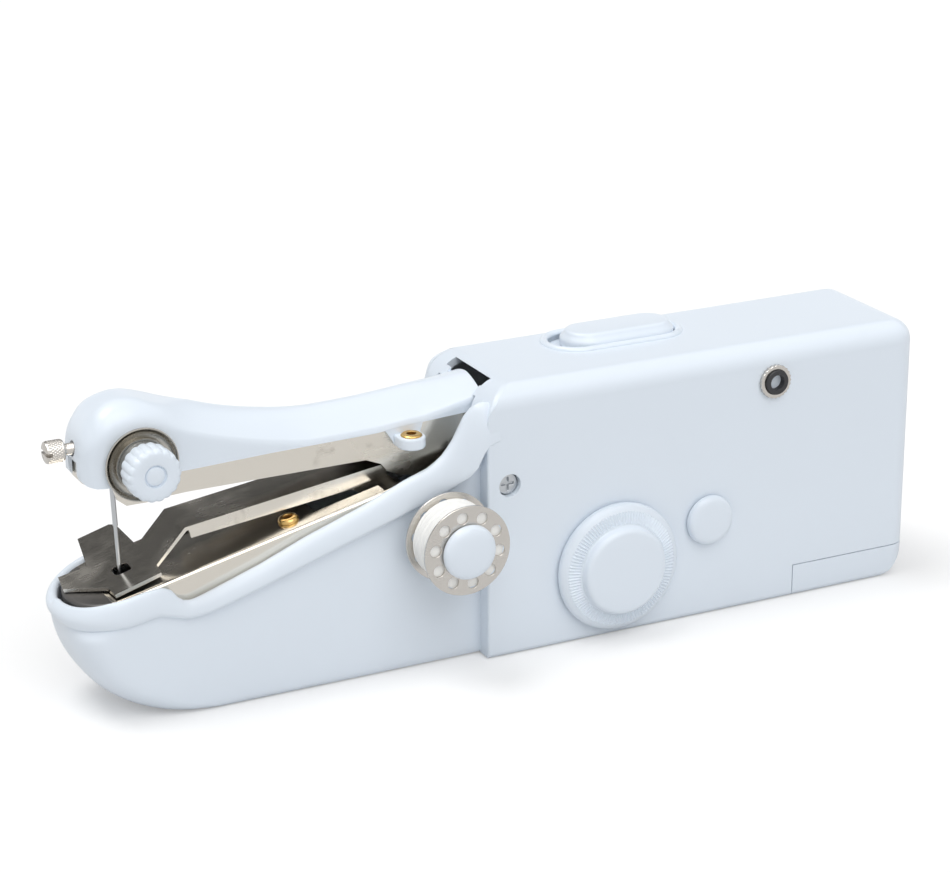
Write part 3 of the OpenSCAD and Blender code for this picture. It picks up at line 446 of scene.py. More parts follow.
def makeRoom():
    # white room seen by the camera, plain light for matt surfaces, a room with a dark band for shiny ones
    world = bpy.data.worlds.new("studio")
    bpy.context.scene.world = world
    world.use_nodes = True
    tree = world.node_tree
    back = tree.nodes["Background"]
    back.inputs["Color"].default_value = (1.0, 1.0, 1.0, 1)
    coord = tree.nodes.new("ShaderNodeTexCoord")
    parts = tree.nodes.new("ShaderNodeSeparateXYZ")
    feed(tree, parts.inputs[0], coord.outputs["Generated"])
    panel = 1.0
    for axis, low, high in studio["darkPanel"]:
        edge = mapRange(tree, parts.outputs[axis], low, high)
        edge.interpolation_type = "SMOOTHSTEP"
        panel = mathNode(tree, "MULTIPLY", panel, edge.outputs["Result"])
    wall = mapRange(tree, panel, 0, 1)
    wall.inputs["To Min"].default_value = studio["roomStrength"]
    wall.inputs["To Max"].default_value = studio["panelStrength"]
    path = tree.nodes.new("ShaderNodeLightPath")
    seen = mathNode(tree, "MAXIMUM", path.outputs["Is Camera Ray"], path.outputs["Is Transmission Ray"])
    shiny, mix = tree.nodes.new("ShaderNodeMix"), tree.nodes.new("ShaderNodeMix")
    glossy = path.outputs["Is Glossy Ray"]
    for node, values in ((shiny, (glossy, studio["worldStrength"], wall.outputs["Result"])),
                         (mix, (seen, shiny.outputs[0], 1.0))):
        for k, value in zip((0, 2, 3), values):
            feed(tree, node.inputs[k], value)
    feed(tree, back.inputs["Strength"], mix.outputs[0])


def makeSuns():
    for name, spot, strength, angle in studio["suns"]:
        data = bpy.data.lights.new(name, "SUN")
        data.energy, data.angle = strength, math.radians(angle)
        lamp = bpy.data.objects.new(name, data)
        lamp.location = spot
        lamp.rotation_euler = (-Vector(spot)).to_track_quat("-Z", "Y").to_euler()
        bpy.context.scene.collection.objects.link(lamp)


makeFloor()
makeRoom()
makeSuns()
bpy.context.scene.view_settings.view_transform = "Standard"
print("studio set")

nose = {"halfWidth": 14.0, "reach": 93.8, "hullReach": 93.3, "bowX": 70.0, "bowHeight": 21.7,
        "lipRound": 11.8, "tipRound": 8.5, "lowTipRound": 14.8, "lipBlunt": 0.95, "blunt": 0.72,
        "footRound": 1.6, "wall": 1.4,
        "lipOut": 1.2, "sideLip": 1.1, "lipRoll": 1.25, "flare": 2.95, "farTop": 56.6, "farDrop": 0.8,
        "roundZ": 58.4, "rear": 3.0, "straightSteps": 64, "tipSteps": 44, "levels": 22}
bed = {"slope": 12.8, "x": -84.1, "z": 28.3, "flange": 12.2, "frontBend": -78, "sheet": 0.8,
       "outerBend": 1.2, "innerBend": 0.5, "shadeX": -79, "tipX": -85}


def bedHeight(x):
    return bed["z"] + math.tan(math.radians(bed["slope"])) * (x - bed["x"])


rimTop = [(-97.5, 25.2), (-93.5, 26.6), (-86.7, bedHeight(-86.7) + 0.9), (-79.0, bedHeight(-79) + 0.6),
          (-75.5, bedHeight(-75.5) + 0.3), (-73, bedHeight(-73) - 0.9), (-71, 27.2), (-69.3, 26.5), (-67.2, 26.8),
          (-65, 27.5), (-52.4, 31.8), (-41.8, 36.1), (-27.9, 40.9), (-18.4, 44.9), (-12.5, 46.9), (-9.3, 48.9),
          (-6.6, 52), (-4.9, 55.3), (-3.9, 57.4), (-3.0, 58.8), (-1.6, 60.0), (0.2, 60.5), (1.4, 60.2), (3, 59)]
rimLow = [(-97.5, 22.0), (-88, 23), (-81.6, 23.4), (-75.8, 24.5), (-72.5, 23.6), (-69.4, 22.8), (-65.3, 23.2),
          (-52.8, 26.9), (-43.4, 29.9), (-31.5, 33.7), (-19.5, 37.4), (-8, 41.3), (-4, 43.2), (-1.8, 45.8),
          (-0.4, 50), (3, 51)]


def ease(t):
    t = min(max(t, 0), 1)
    return t * t * (3 - 2 * t)


def hullLevel(z):
    # tip, length and bluntness of the round end and half width of the hull at a height
    k = min(max(z / nose["bowHeight"], 0), 1)
    tip = nose["bowX"] + (nose["hullReach"] - nose["bowX"]) * math.sqrt(max(0, 1 - (1 - k) ** 2))
    roundLen = nose["tipRound"] + (nose["lowTipRound"] - nose["tipRound"]) * (1 - k) ** 2
    lipShare = ease((z - 20.5) / 3)
    tip += (nose["reach"] - tip) * lipShare
    roundLen += (nose["lipRound"] - roundLen) * lipShare
    blunt = nose["blunt"] + (nose["lipBlunt"] - nose["blunt"]) * lipShare
    foot = nose["footRound"]
    half = nose["halfWidth"]
    if z < foot:
        half -= foot - math.sqrt(max(0, foot * foot - (foot - z) ** 2))
    return tip, roundLen, blunt, half


def hullPoint(u, z, out=0.0):
    # u runs 0..1 along the near side to the tip and 1..2 back along the far side
    tip, roundLen, blunt, half = hullLevel(z)
    side = -1 if u <= 1 else 1
    w = u if u <= 1 else 2 - u
    share = nose["straightSteps"] / (nose["straightSteps"] + nose["tipSteps"])
    if w <= share:
        x = nose["rear"] - (nose["rear"] + tip - roundLen) * w / share
        return Vector((x, side * (half + out), 0)), x
    a = math.pi / 2 * (w - share) / (1 - share)
    c, s = math.sin(a) ** blunt, math.cos(a) ** blunt
    x0 = -(tip - roundLen)
    return Vector((x0 - (roundLen + out) * c, side * (half + out) * s, 0)), x0 - roundLen * c


def lipSection(u, x, low, top):
    # outline of the lip as (out from the hull, z), from the step under it over the crest to the inside
    wall, lip, roll = nose["wall"], nose["lipOut"], nose["lipRoll"]
    if u < 1:  # the near lip is rounder and runs out to the face of the box
        side, flare = nose["sideLip"] * ease((x + 74) / 14), ease((x + 6.5) / 6.5)
        lip += side + (nose["flare"] - side) * flare
        roll += 0.6 * nose["flare"] * flare
    crease = 0.6 + 0.4 * ease((-56 - x) / 14)
    blend = 1.3 - 0.9 * crease
    mid = (lip + wall) / 2
    rise = 0.9 + 0.8 * ease((-70 - x) / 10)
    section = []
    for k in range(1, 7):  # soft step out to the lip
        t = k / 6
        step = (1 - crease) * (3 * t * t - 2 * t ** 3) + crease * math.sqrt(1 - (1 - t) ** 2)
        section.append((lip * step, low - blend + (blend + rise) * t))
    for k in range(1, 11):  # rounded outer band up to the crest
        a = math.pi / 2 * k / 10
        section.append((lip - mid + mid * math.cos(a) ** 1.2, low + rise + (top - low - rise) * math.sin(a) ** 1.2))
    for k in range(1, 6):  # roll down to the inside
        a = math.pi / 2 * (1 + k / 5)
        section.append((lip - mid + mid * math.cos(a), top - roll + roll * math.sin(a)))
    return section + [(-wall, top - roll - 2), (-wall, top - roll - 9)], blend


def makeNose():
    steps = nose["straightSteps"] + nose["tipSteps"]
    columns = [i / steps for i in range(2 * steps + 1)]
    verts = []
    for u in columns:
        _, x = hullPoint(u, 40)
        low, top = heightAt(rimLow, x), heightAt(rimTop, x)
        if u > 1:
            top = min(top, nose["farTop"]) - nose["farDrop"] * ease((-80 - x) / 8)
        section, blend = lipSection(u, x, low, top)
        for k in range(nose["levels"] + 1):
            z = (low - blend) * (k / nose["levels"]) ** 1.4
            p, _ = hullPoint(u, z)
            verts.append((p.x, p.y, z))
        for out, z in section:
            if x > -8 and z > nose["roundZ"]:  # keep under the long round of the box
                out = min(out, 12.9 + math.sqrt(max(24 - (z - nose["roundZ"]) ** 2, 0)) - nose["halfWidth"])
            p, _ = hullPoint(u, z, out)
            verts.append((p.x, p.y, z))
    rows, cols = len(columns), len(verts) // len(columns)
    return newObject("noseHull", verts, gridFaces(rows, cols) + [tuple(i * cols for i in range(rows))])


bodyOf = {}
for body, keys in frame["record"]["behaviour"]["bodies"].items():
    for key in keys:
        bodyOf[key] = body
slotOf = {entry["node"]: entry["material_slot"] for entry in frame["record"]["subparts"]}


def dress(obj, key, look=None):
    # put a piece on the body and slot of the node it stands for
    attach(obj, bodyOf[key])
    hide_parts(key)
    paint(obj, look or slotMaterials[slotOf[key]])
    return obj


def softCopy(key, bends=(), edge=0.2, look=None, nudges=()):
    # copy of a node with chosen bends rounded wide and every other hard edge rounded a little
    mesh = cadNodes[key].data.copy()
    mesh.transform(cadNodes[key].matrix_world)
    mesh.materials.clear()
    obj = bpy.data.objects.new(key + "Soft", mesh)
    bpy.context.scene.collection.objects.link(obj)
    bm = bmesh.new()
    bm.from_mesh(mesh)
    bmesh.ops.remove_doubles(bm, verts=bm.verts, dist=1e-6)
    bmesh.ops.dissolve_limit(bm, angle_limit=math.radians(1.5), verts=bm.verts, edges=bm.edges)
    for at, reach, shift in nudges:
        for v in bm.verts:
            if (v.co / mm - Vector(at)).length < reach:
                v.co += Vector(shift) * mm
    for chosen, width, steps in bends:
        picked = [e for e in bm.edges if len(e.link_faces) == 2 and e.calc_face_angle(0) > 0.5
                  and chosen(*(v.co / mm for v in e.verts))]
        if picked:
            bmesh.ops.bevel(bm, geom=picked, offset=width * mm, segments=steps, profile=0.5, affect="EDGES",
                            clamp_overlap=True)
    bm.to_mesh(mesh)
    bm.free()
    tidyNormals(obj, 30)
    roundEdges(obj, edge, 2, 40)
    return dress(obj, key, look)


dress(makeNose(), "front_shell")
print("nose made")

box = {"length": 113.0, "height": 63.4, "half": 17.95, "wall": 1.8, "topRound": 5.0, "footRound": 1.5,
       "tailRound": 5.0, "tailFoot": 9.5, "mouthRound": 8.0, "stepRound": 0.6, "farStepRound": 5.0, "seamY": 14.0,
       "seamGap": 0.06, "coverX": 80.2, "coverHeight": 7.9, "coverGap": 0.1,
       "screwAt": (5.4, 40.9), "screwRound": 2.65, "backScrews": ((24, 55.5), (10, 7), (76, 25)),
       "backScrewRound": 2.5, "backScrewDepth": 1.7}
beyondX, beyondY, beyondZ = 120, 30, 80  # well past the box, for cutters
# openings of the box round the rear of the arm, as corners: mouth, notch in the edge, room under the roof, hull
mouth = [((-3, -9.2, 20), (4.2, 9.2, 59.7)), ((-3, -8.0, 59), (3.7, 6.2, 80)),
         ((3, -8.6, 58), (13, 8.6, 62.95)), ((-3, -12.4, 25), (2.8, 12.4, 47.5))]
switch = {"x0": 34.1, "x1": 53.1, "y": 5.3, "recess": 6.3, "bead": 1.9, "beadHeight": 0.85, "depth": 1.2,
          "button": (36.9, 53.1), "stem": (43.0, 47.0), "stemHalf": 1.4}


def boxSolid(name, inset=0.0):
    # block whose edges carry their own rounds as bevel weights
    lo = (inset, -box["half"] + inset, inset)
    hi = (box["length"] - inset, box["half"] - inset, box["height"] - inset)
    obj = boxCutter(lo, hi, name)
    bm = bmesh.new()
    bm.from_mesh(obj.data)
    weight = bm.edges.layers.float.new("bevel_weight_edge")
    widest = box["tailFoot"]
    for e in bm.edges:
        mid = (e.verts[0].co + e.verts[1].co) / 2 / mm
        atNose, atTail = mid.x < inset + 1, mid.x > box["length"] - inset - 1
        high, low = mid.z > box["height"] - inset - 1, mid.z < inset + 1
        side = abs(mid.y) > box["half"] - inset - 1
        r = 0
        if high and side:
            r = box["topRound"]
        elif low and side:
            r = box["footRound"]
        elif atTail and side:
            r = box["tailRound"]
        elif atNose and side:
            r = box["stepRound"] if mid.y < 0 else box["farStepRound"]
        elif atTail and low:
            r = box["tailFoot"]
        elif atTail and high:
            r = box["topRound"]
        elif atNose and high:
            r = box["mouthRound"]
        elif atNose and low:
            r = box["stepRound"]
        e[weight] = max(r - inset, 0.3) / widest
    bm.to_mesh(obj.data)
    bm.free()
    mod = obj.modifiers.new("rounds", "BEVEL")
    mod.width = widest * mm
    mod.segments = 10
    mod.limit_method = "WEIGHT"
    mod.use_clamp_overlap = False
    applyModifiers(obj)
    tidyNormals(obj, 40)
    return obj


def cutCoverRoom(obj):
    # opening of the battery cover, with its play
    gap = box["coverGap"]
    cut(obj, boxCutter((box["coverX"] - gap, -beyondY, -2), (beyondX, beyondY, box["coverHeight"] + gap)))


def makeShell():
    shell = boxSolid("gripShell")
    cut(shell, boxSolid("cavity", box["wall"]))
    cut(shell, boxCutter((-2, box["seamY"] - box["seamGap"], -2), (beyondX, beyondY, beyondZ)))
    cutCoverRoom(shell)
    for lo, hi in mouth:
        cut(shell, boxCutter(lo, hi))
    cut(shell, prism("recess", slotOutline(switch["x0"], switch["x1"], switch["y"], switch["recess"]),
                     "z", box["height"] - switch["depth"], box["height"] + 5))
    cut(shell, prism("screwHole", ringOutline(box["screwAt"], box["screwRound"]), "y", -20, -15.2))
    roundEdges(shell, 0.35, 3, 40)
    return shell


def makeBackCover():
    cover = boxSolid("backCover")
    cut(cover, boxSolid("cavity", box["wall"]))
    cut(cover, boxCutter((-2, -beyondY, -2), (beyondX, box["seamY"] + box["seamGap"], beyondZ)))
    cutCoverRoom(cover)
    for at in box["backScrews"]:
        cut(cover, prism("screwHole", ringOutline(at, box["backScrewRound"]), "y",
                         box["half"] - box["backScrewDepth"], 25))
    roundEdges(cover, 0.3, 2, 40)
    return cover


def makeBatteryCover():
    cover = boxSolid("batteryCover")
    cut(cover, boxSolid("cavity", box["wall"]))
    gap = box["coverGap"] + 0.02
    cut(cover, boxCutter((-5, -beyondY, -5), (box["coverX"] + gap, beyondY, beyondZ)))
    cut(cover, boxCutter((-5, -beyondY, box["coverHeight"] - gap), (beyondX + 10, beyondY, beyondZ)))
    roundEdges(cover, 0.25, 2, 40)
    return cover


dress(makeShell(), "front_shell")
dress(makeBackCover(), "back_cover")
dress(makeBatteryCover(), "battery_cover")
print("grip box made")

# arm cover: rounded section that swells into the head
arm = {"half": 8.4, "wall": 0.85, "crown": 2.1, "crease": 0.7,
       "crownSteps": (0.975, 0.93, 0.86, 0.77, 0.67, 0.56, 0.45, 0.34, 0.23, 0.12, 0.03),
       "front": -88.8, "rear": 3.4, "planRound": 6.0, "stations": 120, "tensionAt": (-76.4, 57.0), "screwZ": 59.8,
       "needleY": -1.0, "holeRound": 1.7, "clampHalf": 2.5, "clampTop": 57.5, "eyeletAt": (-15.0, -10.7),
       "ledgeZ": 53.7, "ledgeHeight": 2.7, "ledgeRound": 3.1, "webY": (-8.3, -7.6)}
armTop = [(-88.8, 59.8), (-88.1, 62.4), (-86.8, 65), (-84.8, 67.4), (-82.3, 69), (-79.6, 69.8), (-77, 69.9),
          (-74.4, 69.4), (-70.7, 67.9), (-64.3, 64.8), (-55.3, 61.7), (-46.2, 59.7), (-36.9, 58.5), (-27.5, 58.5),
          (-17.9, 59), (-8.2, 59.9), (3.4, 61)]
armLow = [(-88.8, 55), (-88.4, 53.7), (-87.4, 52.8), (-85.8, 52.4), (-76, 52.6), (-67.8, 53.5), (-46.9, 54.2),
          (-22.5, 54.6), (-14.5, 55.3), (3.4, 56.2)]
armRound = [(-88.8, 3.0), (-86, 5.5), (-80, 6.2), (-75, 5.8), (-69.7, 4.4), (-62.9, 3.3), (-53.9, 3.0),
            (-44.8, 3.2), (-33.2, 3.5), (-22.4, 3.8), (-12, 3.4), (3.4, 1.4)]
smoothTop = [(v.x, v.y) for v in resample([(x, z, 0) for x, z in armTop], 160)]


def armSection(x, inset, topDrop, low):
    # outline in (y, z), from the near lower edge over the top to the far lower edge
    front = arm["front"] + inset
    radius = arm["planRound"] - inset
    half = arm["half"] - inset
    if x < front + radius:
        into = front + radius - x
        half -= radius - math.sqrt(max(0, radius * radius - into * into))
    top = heightAt(smoothTop, x if inset == 0 else x - inset * 0.8) - topDrop
    crowned = ease((x + 73) / 12)
    r = min(max(heightAt(armRound, x) - inset, 0.6), half - 0.05, top - low - 0.2 - arm["crease"] * crowned)
    points = [(-half, low + (top - r - arm["crease"] * crowned - low) * k / 4) for k in range(5)]
    turns = [math.pi * k / 18 for k in range(1, 10)]
    flat = [(-half + r - r * math.cos(a), top - r + r * math.sin(a)) for a in turns]
    flat += [(flat[-1][0] * t, top) for t in (0.6, 0.2)]
    crown = arm["crown"] - 0.5 * ease((x + 14) / 14)
    for (y, z), f in zip(flat, arm["crownSteps"]):  # corner and flat top in the head, one wide crown behind it
        high = top + crown - (r + crown) * f ** 1.7
        points.append((y - (half * f + y) * crowned, z + (high - z) * crowned))
    return points + [(-y, z) for y, z in reversed(points)]


def armLoft(name, inset, topDrop, lowest=None):
    start, stop = arm["front"] + inset, arm["rear"] + (1.5 if inset else 0)
    xs = [start + (stop - start) * (k / arm["stations"]) ** 1.7 for k in range(arm["stations"] + 1)]
    verts = []
    for x in xs:
        low = heightAt(armLow, x) if lowest is None else lowest
        verts += [(x, y, z) for y, z in armSection(x, inset, topDrop, low)]
    cols = len(verts) // len(xs)
    faces = gridFaces(len(xs), cols, wrapCols=True)
    faces.append(tuple(range(cols)))
    faces.append(tuple(reversed(range(len(verts) - cols, len(verts)))))
    return newObject(name, verts, faces)


def makeArmCover():
    cover = armLoft("armCover", 0.0, 0.0)
    x, y = arm["eyeletAt"]
    r = arm["ledgeRound"]
    turns = [-math.pi * k / 20 for k in range(21)]
    tongue = [(x + r, -6.8)] + [(x + r * math.cos(a), y + r * math.sin(a)) for a in turns] + [(x - r, -6.8)]
    ledge = prism("ledge", tongue, "z", arm["ledgeZ"] - arm["ledgeHeight"], arm["ledgeZ"])
    roundEdges(ledge, 0.5, 3)
    cut(cover, ledge, "UNION")
    web = prism("web", [(x - r - 2.4, 55.4), (x - r + 0.4, 51.1), (x + r - 0.6, 51.1), (x + r + 1, 56)],
                "y", *arm["webY"])
    cut(cover, web, "UNION")
    cut(cover, armLoft("armHollow", arm["wall"], 1.2, 45.0))
    needleY, side, hole = arm["needleY"], arm["clampHalf"], arm["holeRound"]
    cut(cover, boxCutter((-92, needleY - side, 50), (-87.6, needleY + side, arm["clampTop"])))
    cut(cover, prism("screwHole", ringOutline((needleY, arm["screwZ"]), hole), "x", -92, -86))
    cut(cover, prism("studHole", ringOutline(arm["tensionAt"], hole), "y", -10, -6))
    cut(cover, prism("eyeletHole", ringOutline(arm["eyeletAt"], hole), "z", 48, 56))
    roundEdges(cover, 0.18, 2, 45)
    return cover


dress(makeArmCover(), "arm_cover")
print("arm cover made")

# sheet steel: the channel of the arm, the bed and the presser strip, each with its bends
webLine = [(4, 56.6), (-14.5, 55.5), (-22.5, 54.9), (-46.9, 54.5), (-67.8, 53.9), (-72.5, 53.8), (-73.5, 62.2),
           (-95, 62.2)]
channel = {"outerHalf": 7.5, "innerHalf": 6.7, "sheet": 0.8, "outerBend": 1.5, "innerBend": 0.7}
presser = {"flangeX": -66, "flangeZ": 39.3, "flangeHalf": (5.9, 6.25), "start": (-66.4, 39.85), "slope": 0.13996,
           "bend": 0.8, "cornerRange": (-93, -72), "corner": 1.6,
           "footCorner": ((-91.0, -0.5, 27.7), 1.4, (-0.6, 1.8, 0))}


def along(test):
    # edge whose two ends both pass the test
    return lambda a, b: test(*a) and test(*b)


def webEdge(half, drop=0.0):
    # edge of the channel's web, half wide and so far under its top
    return along(lambda x, y, z: abs(abs(y) - half) < 0.05 and abs(z - heightAt(webLine, x) + drop) < 0.15)


def bedEdge(drop, flange, slack):
    # edge of the bed's flanges and front end, so far under its top
    return along(lambda x, y, z: abs(z - bedHeight(x) + drop) < slack and (abs(y) > flange or x < bed["frontBend"]))


def flangeEdge(x, y, z):
    # point on the bend between the presser's strip and its flange
    near, far = presser["flangeHalf"]
    x0, z0 = presser["start"]
    return (x > presser["flangeX"] and near < abs(y) < far and z > presser["flangeZ"]
            and abs(z - (z0 + (x - x0) * presser["slope"])) < 0.25)


def upright(low, high):
    # short edge through the sheet, standing between two stations
    return lambda a, b: 0.5 < (a - b).length < 1.2 and abs(a.y - b.y) < 0.05 and low < a.x < high


def paintShadeOnFaces(obj, test):
    # faces of the sheet painted near-black in a second steel, standing in for the shade that falls on them
    obj.data.materials.append(materials["paintedShadeSteel"])
    for face in obj.data.polygons:
        if test(face):
            face.material_index = 1


# downward faces, which get painted shade
def facesDown(face):
    return face.normal.z < -0.6


def splitAcross(obj, x):
    bm = bmesh.new()
    bm.from_mesh(obj.data)
    parts = bm.verts[:] + bm.edges[:] + bm.faces[:]
    bmesh.ops.bisect_plane(bm, geom=parts, plane_co=(x * mm, 0, 0), plane_no=(1, 0, 0))
    bm.to_mesh(obj.data)
    bm.free()


def shadedEnd(face):
    # front end of the bed under the foot, painted dark as the foot's shade
    x = face.center.x / mm
    return x < bed["shadeX"] and (face.normal.z < 0.75 or x < bed["tipX"] - 0.1)


# painted shade: downward faces of the channel and presser strip, and the bed's front end under the foot
paintShadeOnFaces(softCopy("arm_channel", [(webEdge(channel["outerHalf"]), channel["outerBend"], 6),
                                   (webEdge(channel["innerHalf"], channel["sheet"]), channel["innerBend"], 4)],
                   0.12), facesDown)
bedCopy = softCopy("bed_plate", [(bedEdge(0, bed["flange"], 0.05), bed["outerBend"], 5),
                                 (bedEdge(bed["sheet"], bed["flange"] - bed["sheet"], 0.06), bed["innerBend"], 3)],
                   0.1)
# split at the tip so that the bed's painted shade ends there
splitAcross(bedCopy, bed["tipX"])
paintShadeOnFaces(bedCopy, shadedEnd)
paintShadeOnFaces(softCopy("presser_plate", [(along(flangeEdge), presser["bend"], 4),
                                     (upright(*presser["cornerRange"]), presser["corner"], 5)],
                   0.12, nudges=(presser["footCorner"],)), facesDown)
print("sheet steel made")

# turned pieces: hand wheel, winder disc, tension parts and clamp screw
wheel = {"at": (32.2, 17.303), "y": -18.4, "radius": 15.1, "middle": 10.3, "ridges": 108, "ridgeDepth": 0.16}
disc = {"at": (56.507, 23.952), "y": -18.35, "radius": 5.9}


def rippled(name, at, profile, steps, ripple):
    # turned piece whose points are moved by ripple(row, angle) = (radius change, y change)
    verts = []
    for row, (r, y) in enumerate(profile):
        for k in range(steps):
            a = 2 * math.pi * k / steps
            dr, dy = ripple(row, a)
            verts.append((at[0] + (r + dr) * math.cos(a), y + dy, at[1] + (r + dr) * math.sin(a)))
    return newObject(name, verts, gridFaces(len(profile), steps, wrapCols=True))


def makeHandWheel():
    r, m, y = wheel["radius"], wheel["middle"], wheel["y"]
    rim = [(0.02, 0), (r - 0.5, 0), (r - 0.15, -0.12), (r, -0.5), (r, -1.2), (r - 0.12, -1.6), (r - 0.45, -2.0),
           (r - 0.9, -2.3), (r - 1.25, -2.5), (r - 1.5, -2.62)]
    band = [(r - 1.6 - (r - 1.6 - m - 0.75) * k / 4, -2.66 - 0.52 * k / 4) for k in range(5)]
    middle = [(m + 0.6, -3.22), (m + 0.28, -3.3), (m + 0.1, -3.55), (m, -4.3), (m - 0.12, -4.8), (m - 0.4, -5.16),
              (m - 0.85, -5.38), (m - 1.4, -5.46), (m * 0.5, -5.48), (0.02, -5.5)]
    profile = [(a, y + b) for a, b in rim + band + middle]
    first, last = len(rim), len(rim) + len(band)

    def ripple(row, a):
        if not first <= row < last:
            return 0, 0
        return 0, wheel["ridgeDepth"] * math.cos(wheel["ridges"] * a)
    return rippled("handWheel", wheel["at"], profile, wheel["ridges"] * 6, ripple)


def makeWinderDisc():
    r, y = disc["radius"], disc["y"]
    return lathe("winderDisc", disc["at"], [(0.02, y), (r - 0.2, y), (r, y - 0.25), (r - 0.04, y - 0.7),
                                            (r - 0.25, y - 1.2), (r - 0.65, y - 1.55), (r - 1.2, y - 1.76),
                                            (r - 2, y - 1.86), (0.02, y - 1.9)])


tension = {"at": (-76.4, 57.0), "faceY": -8.4, "dish": 8.1, "knob": 5.8, "flutes": 18, "fluteDepth": 0.13}


def makeTension():
    y, d = tension["faceY"], tension["dish"]
    dish = [(1.56, -0.05), (d - 1.1, -0.05), (d - 0.6, -0.25), (d - 0.15, -0.8), (d, -1.2), (d - 0.02, -1.5),
            (d - 0.25, -1.55), (d - 0.5, -1.4), (d - 0.75, -1.05), (d - 1.15, -0.8), (d - 1.8, -0.72),
            (1.56, -0.72), (1.56, -0.05)]
    inner = [(1.56, -0.82), (4.9, -0.82), (5.5, -1.1), (5.85, -1.6), (5.8, -1.95), (5.5, -1.95), (5.2, -1.6),
             (4.7, -1.42), (1.56, -1.42), (1.56, -0.82)]
    # both discs take the darker nickel as painted shade
    for name, line in (("tensionDish", dish), ("tensionDisc", inner)):
        dress(lathe(name, tension["at"], [(a, y + b) for a, b in line]), "tension_discs", "shadedDishNickel")
    k, near, far = tension["knob"], y - 9.6, y - 3.9
    profile = [(1.56, far), (k - 0.5, far), (k - 0.1, far - 0.25), (k, far - 0.7), (k, near + 1.3),
               (k - 0.12, near + 0.7), (k - 0.45, near + 0.28), (k - 0.95, near + 0.06), (k - 1.5, near),
               (2.75, near), (2.5, near + 0.12), (2.42, near + 0.6), (2.3, near + 0.75), (2.12, near + 0.7),
               (2.0, near + 0.4), (1.6, near + 0.16), (0.9, near + 0.04), (0.02, near)]
    shares = (0, 0.4, 1, 1, 1, 1, 0.8, 0.45, 0.1) + (0,) * 9

    def ripple(row, a):
        return shares[row] * tension["fluteDepth"] * (abs(math.cos(tension["flutes"] / 2 * a)) * 2 - 1.25), 0
    dress(rippled("tensionKnob", tension["at"], profile, 360, ripple), "tension_knob")


clamp = {"at": (-94.7, -1.0, 59.8), "radius": 2.42, "knurl": (0.5, 3.7), "turns": 14, "pitch": 3.4,
         "depth": 0.13, "slotHalf": 0.4, "slotDepth": 1.2}


def makeClampScrew():
    # knurled barrel on a plain neck, axis along X
    x0, y0, z0 = clamp["at"]
    wide, (start, stop) = clamp["radius"], clamp["knurl"]
    profile = [(0.02, 0), (1.9, 0), (2.3, 0.2), (wide, start)]
    profile += [(wide, start + (stop - start) * k / 24) for k in range(1, 25)]
    profile += [(2.3, 4.0), (1.95, 4.2), (1.35, 4.2), (1.25, 4.35), (1.25, 5.0), (1.29, 5.1), (1.29, 13.6),
                (0.02, 13.7)]
    steps = 168
    verts = []
    for r, x in profile:
        for k in range(steps):
            a = 2 * math.pi * k / steps
            if r == wide and start < x < stop:
                crossed = [abs(math.sin(clamp["turns"] * a + way * clamp["pitch"] * x)) for way in (1, -1)]
                out = r + clamp["depth"] * (0.6 - max(crossed))
            else:
                out = r
            verts.append((x0 + x, y0 + out * math.cos(a), z0 + out * math.sin(a)))
    barrel = newObject("clampScrew", verts, gridFaces(len(profile), steps, wrapCols=True))
    half = clamp["slotHalf"]
    cut(barrel, boxCutter((x0 - 1, y0 - 3.5, z0 - half), (x0 + clamp["slotDepth"], y0 + 3.5, z0 + half)))
    tidyNormals(barrel, 35)
    return barrel


dress(makeHandWheel(), "hand_wheel")
dress(makeWinderDisc(), "winder_disc")
makeTension()
dress(makeClampScrew(), "needle_screw")
print("dials made")

# bobbin, its post and cap
spool = {"at": (-10.1, 32.0), "y0": -18.3, "y1": -28.2, "radius": 10.25, "under": 1.15, "flange": 0.7,
         "core": 3.95, "rows": 60}


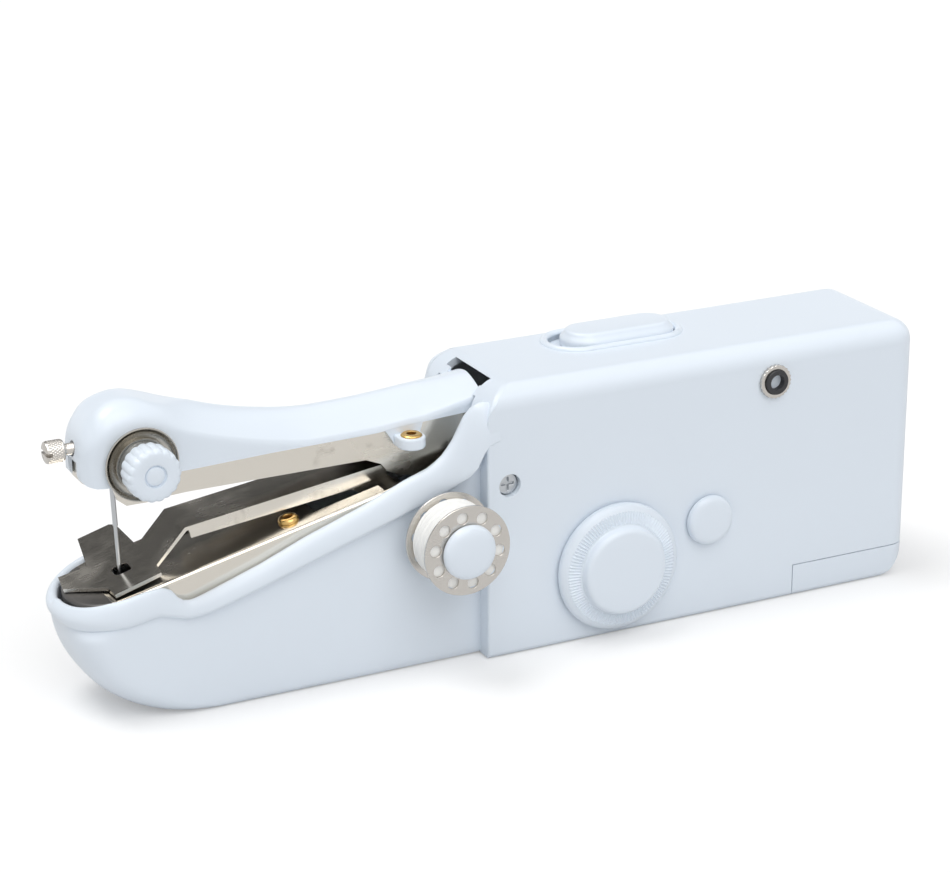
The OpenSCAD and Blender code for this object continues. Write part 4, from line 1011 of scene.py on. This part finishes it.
def makeBobbin():
    softCopy("bobbin", edge=0.12)
    y0, y1, edge, rows = spool["y0"], spool["y1"], spool["flange"], spool["rows"]
    full = spool["radius"] - spool["under"]
    profile = [(spool["core"], y1 + edge)]
    for k in range(rows + 1):
        y = y1 + edge + (y0 - y1 - 2 * edge) * k / rows
        profile.append((full - 0.3 + 0.14 * math.sin(k * 0.37) + 0.1 * math.sin(k * 0.91 + 1), y))
    profile.append((spool["core"], y0 - edge))
    dress(lathe("woundThread", spool["at"], profile, 120), "bobbin_thread", "thread")
    cap = [(0.02, 0), (5.6, 0), (6.0, -0.12), (6.2, -0.45), (6.17, -0.9), (5.95, -1.35), (5.4, -1.8), (4.5, -2.15),
           (3.3, -2.42), (1.8, -2.56), (0.02, -2.6)]
    dress(lathe("bobbinCap", spool["at"], [(r, y1 - 0.2 + d) for r, d in cap]), "bobbin_cap")


makeBobbin()
softCopy("bobbin_post", edge=0.3)
softCopy("jack_nut", edge=0.15, look="nickel")
for key, edge in (("dc_jack", 0.15), ("nose_screw", 0.12), ("bed_eyelet", 0.12), ("arm_eyelet", 0.12)):
    softCopy(key, edge=edge)
print("bobbin and small fittings made")


def slotSweep(name, x0, x1, y, profile, closeTop=False):
    # profile of (radius, height) swept round a slot
    rings = [slotOutline(x0, x1, y, r) for r, _ in profile]
    verts = [(u, v, z) for ring, (_, z) in zip(rings, profile) for u, v in ring]
    cols = len(rings[0])
    faces = gridFaces(len(profile), cols, wrapCols=True)
    if closeTop:
        faces += [tuple(range(len(verts) - cols, len(verts))), tuple(reversed(range(cols)))]
    return newObject(name, verts, faces)


def makeBead():
    # half-round bead round the recess
    top, inner, wide, high = box["height"], switch["recess"], switch["bead"], switch["beadHeight"]
    turns = [math.pi * k / 12 for k in range(13)]
    profile = [(inner + wide / 2 - wide / 2 * math.cos(a), top - 0.02 + high * math.sin(a)) for a in turns]
    profile = [(inner, top - 1.15)] + profile + [(inner + wide, top - 0.5)]
    return slotSweep("switchBead", switch["x0"], switch["x1"], switch["y"], profile)


def makeButton():
    # sliding button: sloping flanks up to a flat pad, filling its recess but for the travel
    base = box["height"]
    profile = [(5.0, -0.85), (6.0, -0.85), (6.1, -0.7), (6.1, 0.5), (5.95, 0.95), (5.6, 1.35), (5.2, 1.75),
               (5.0, 2.1), (4.85, 2.4), (4.55, 2.62), (4.1, 2.72), (3.4, 2.75)]
    (x0, x1), y, half = switch["button"], switch["y"], switch["stemHalf"]
    button = slotSweep("button", x0, x1, y, [(r, base + z) for r, z in profile], True)
    left, right = switch["stem"]
    cut(button, boxCutter((left, y - half, base - 5), (right, y + half, base - 0.4), "stem"), "UNION")
    tidyNormals(button, 30)
    return button


dress(makeBead(), "front_shell")
dress(makeButton(), "switch_button")
print("switch made")
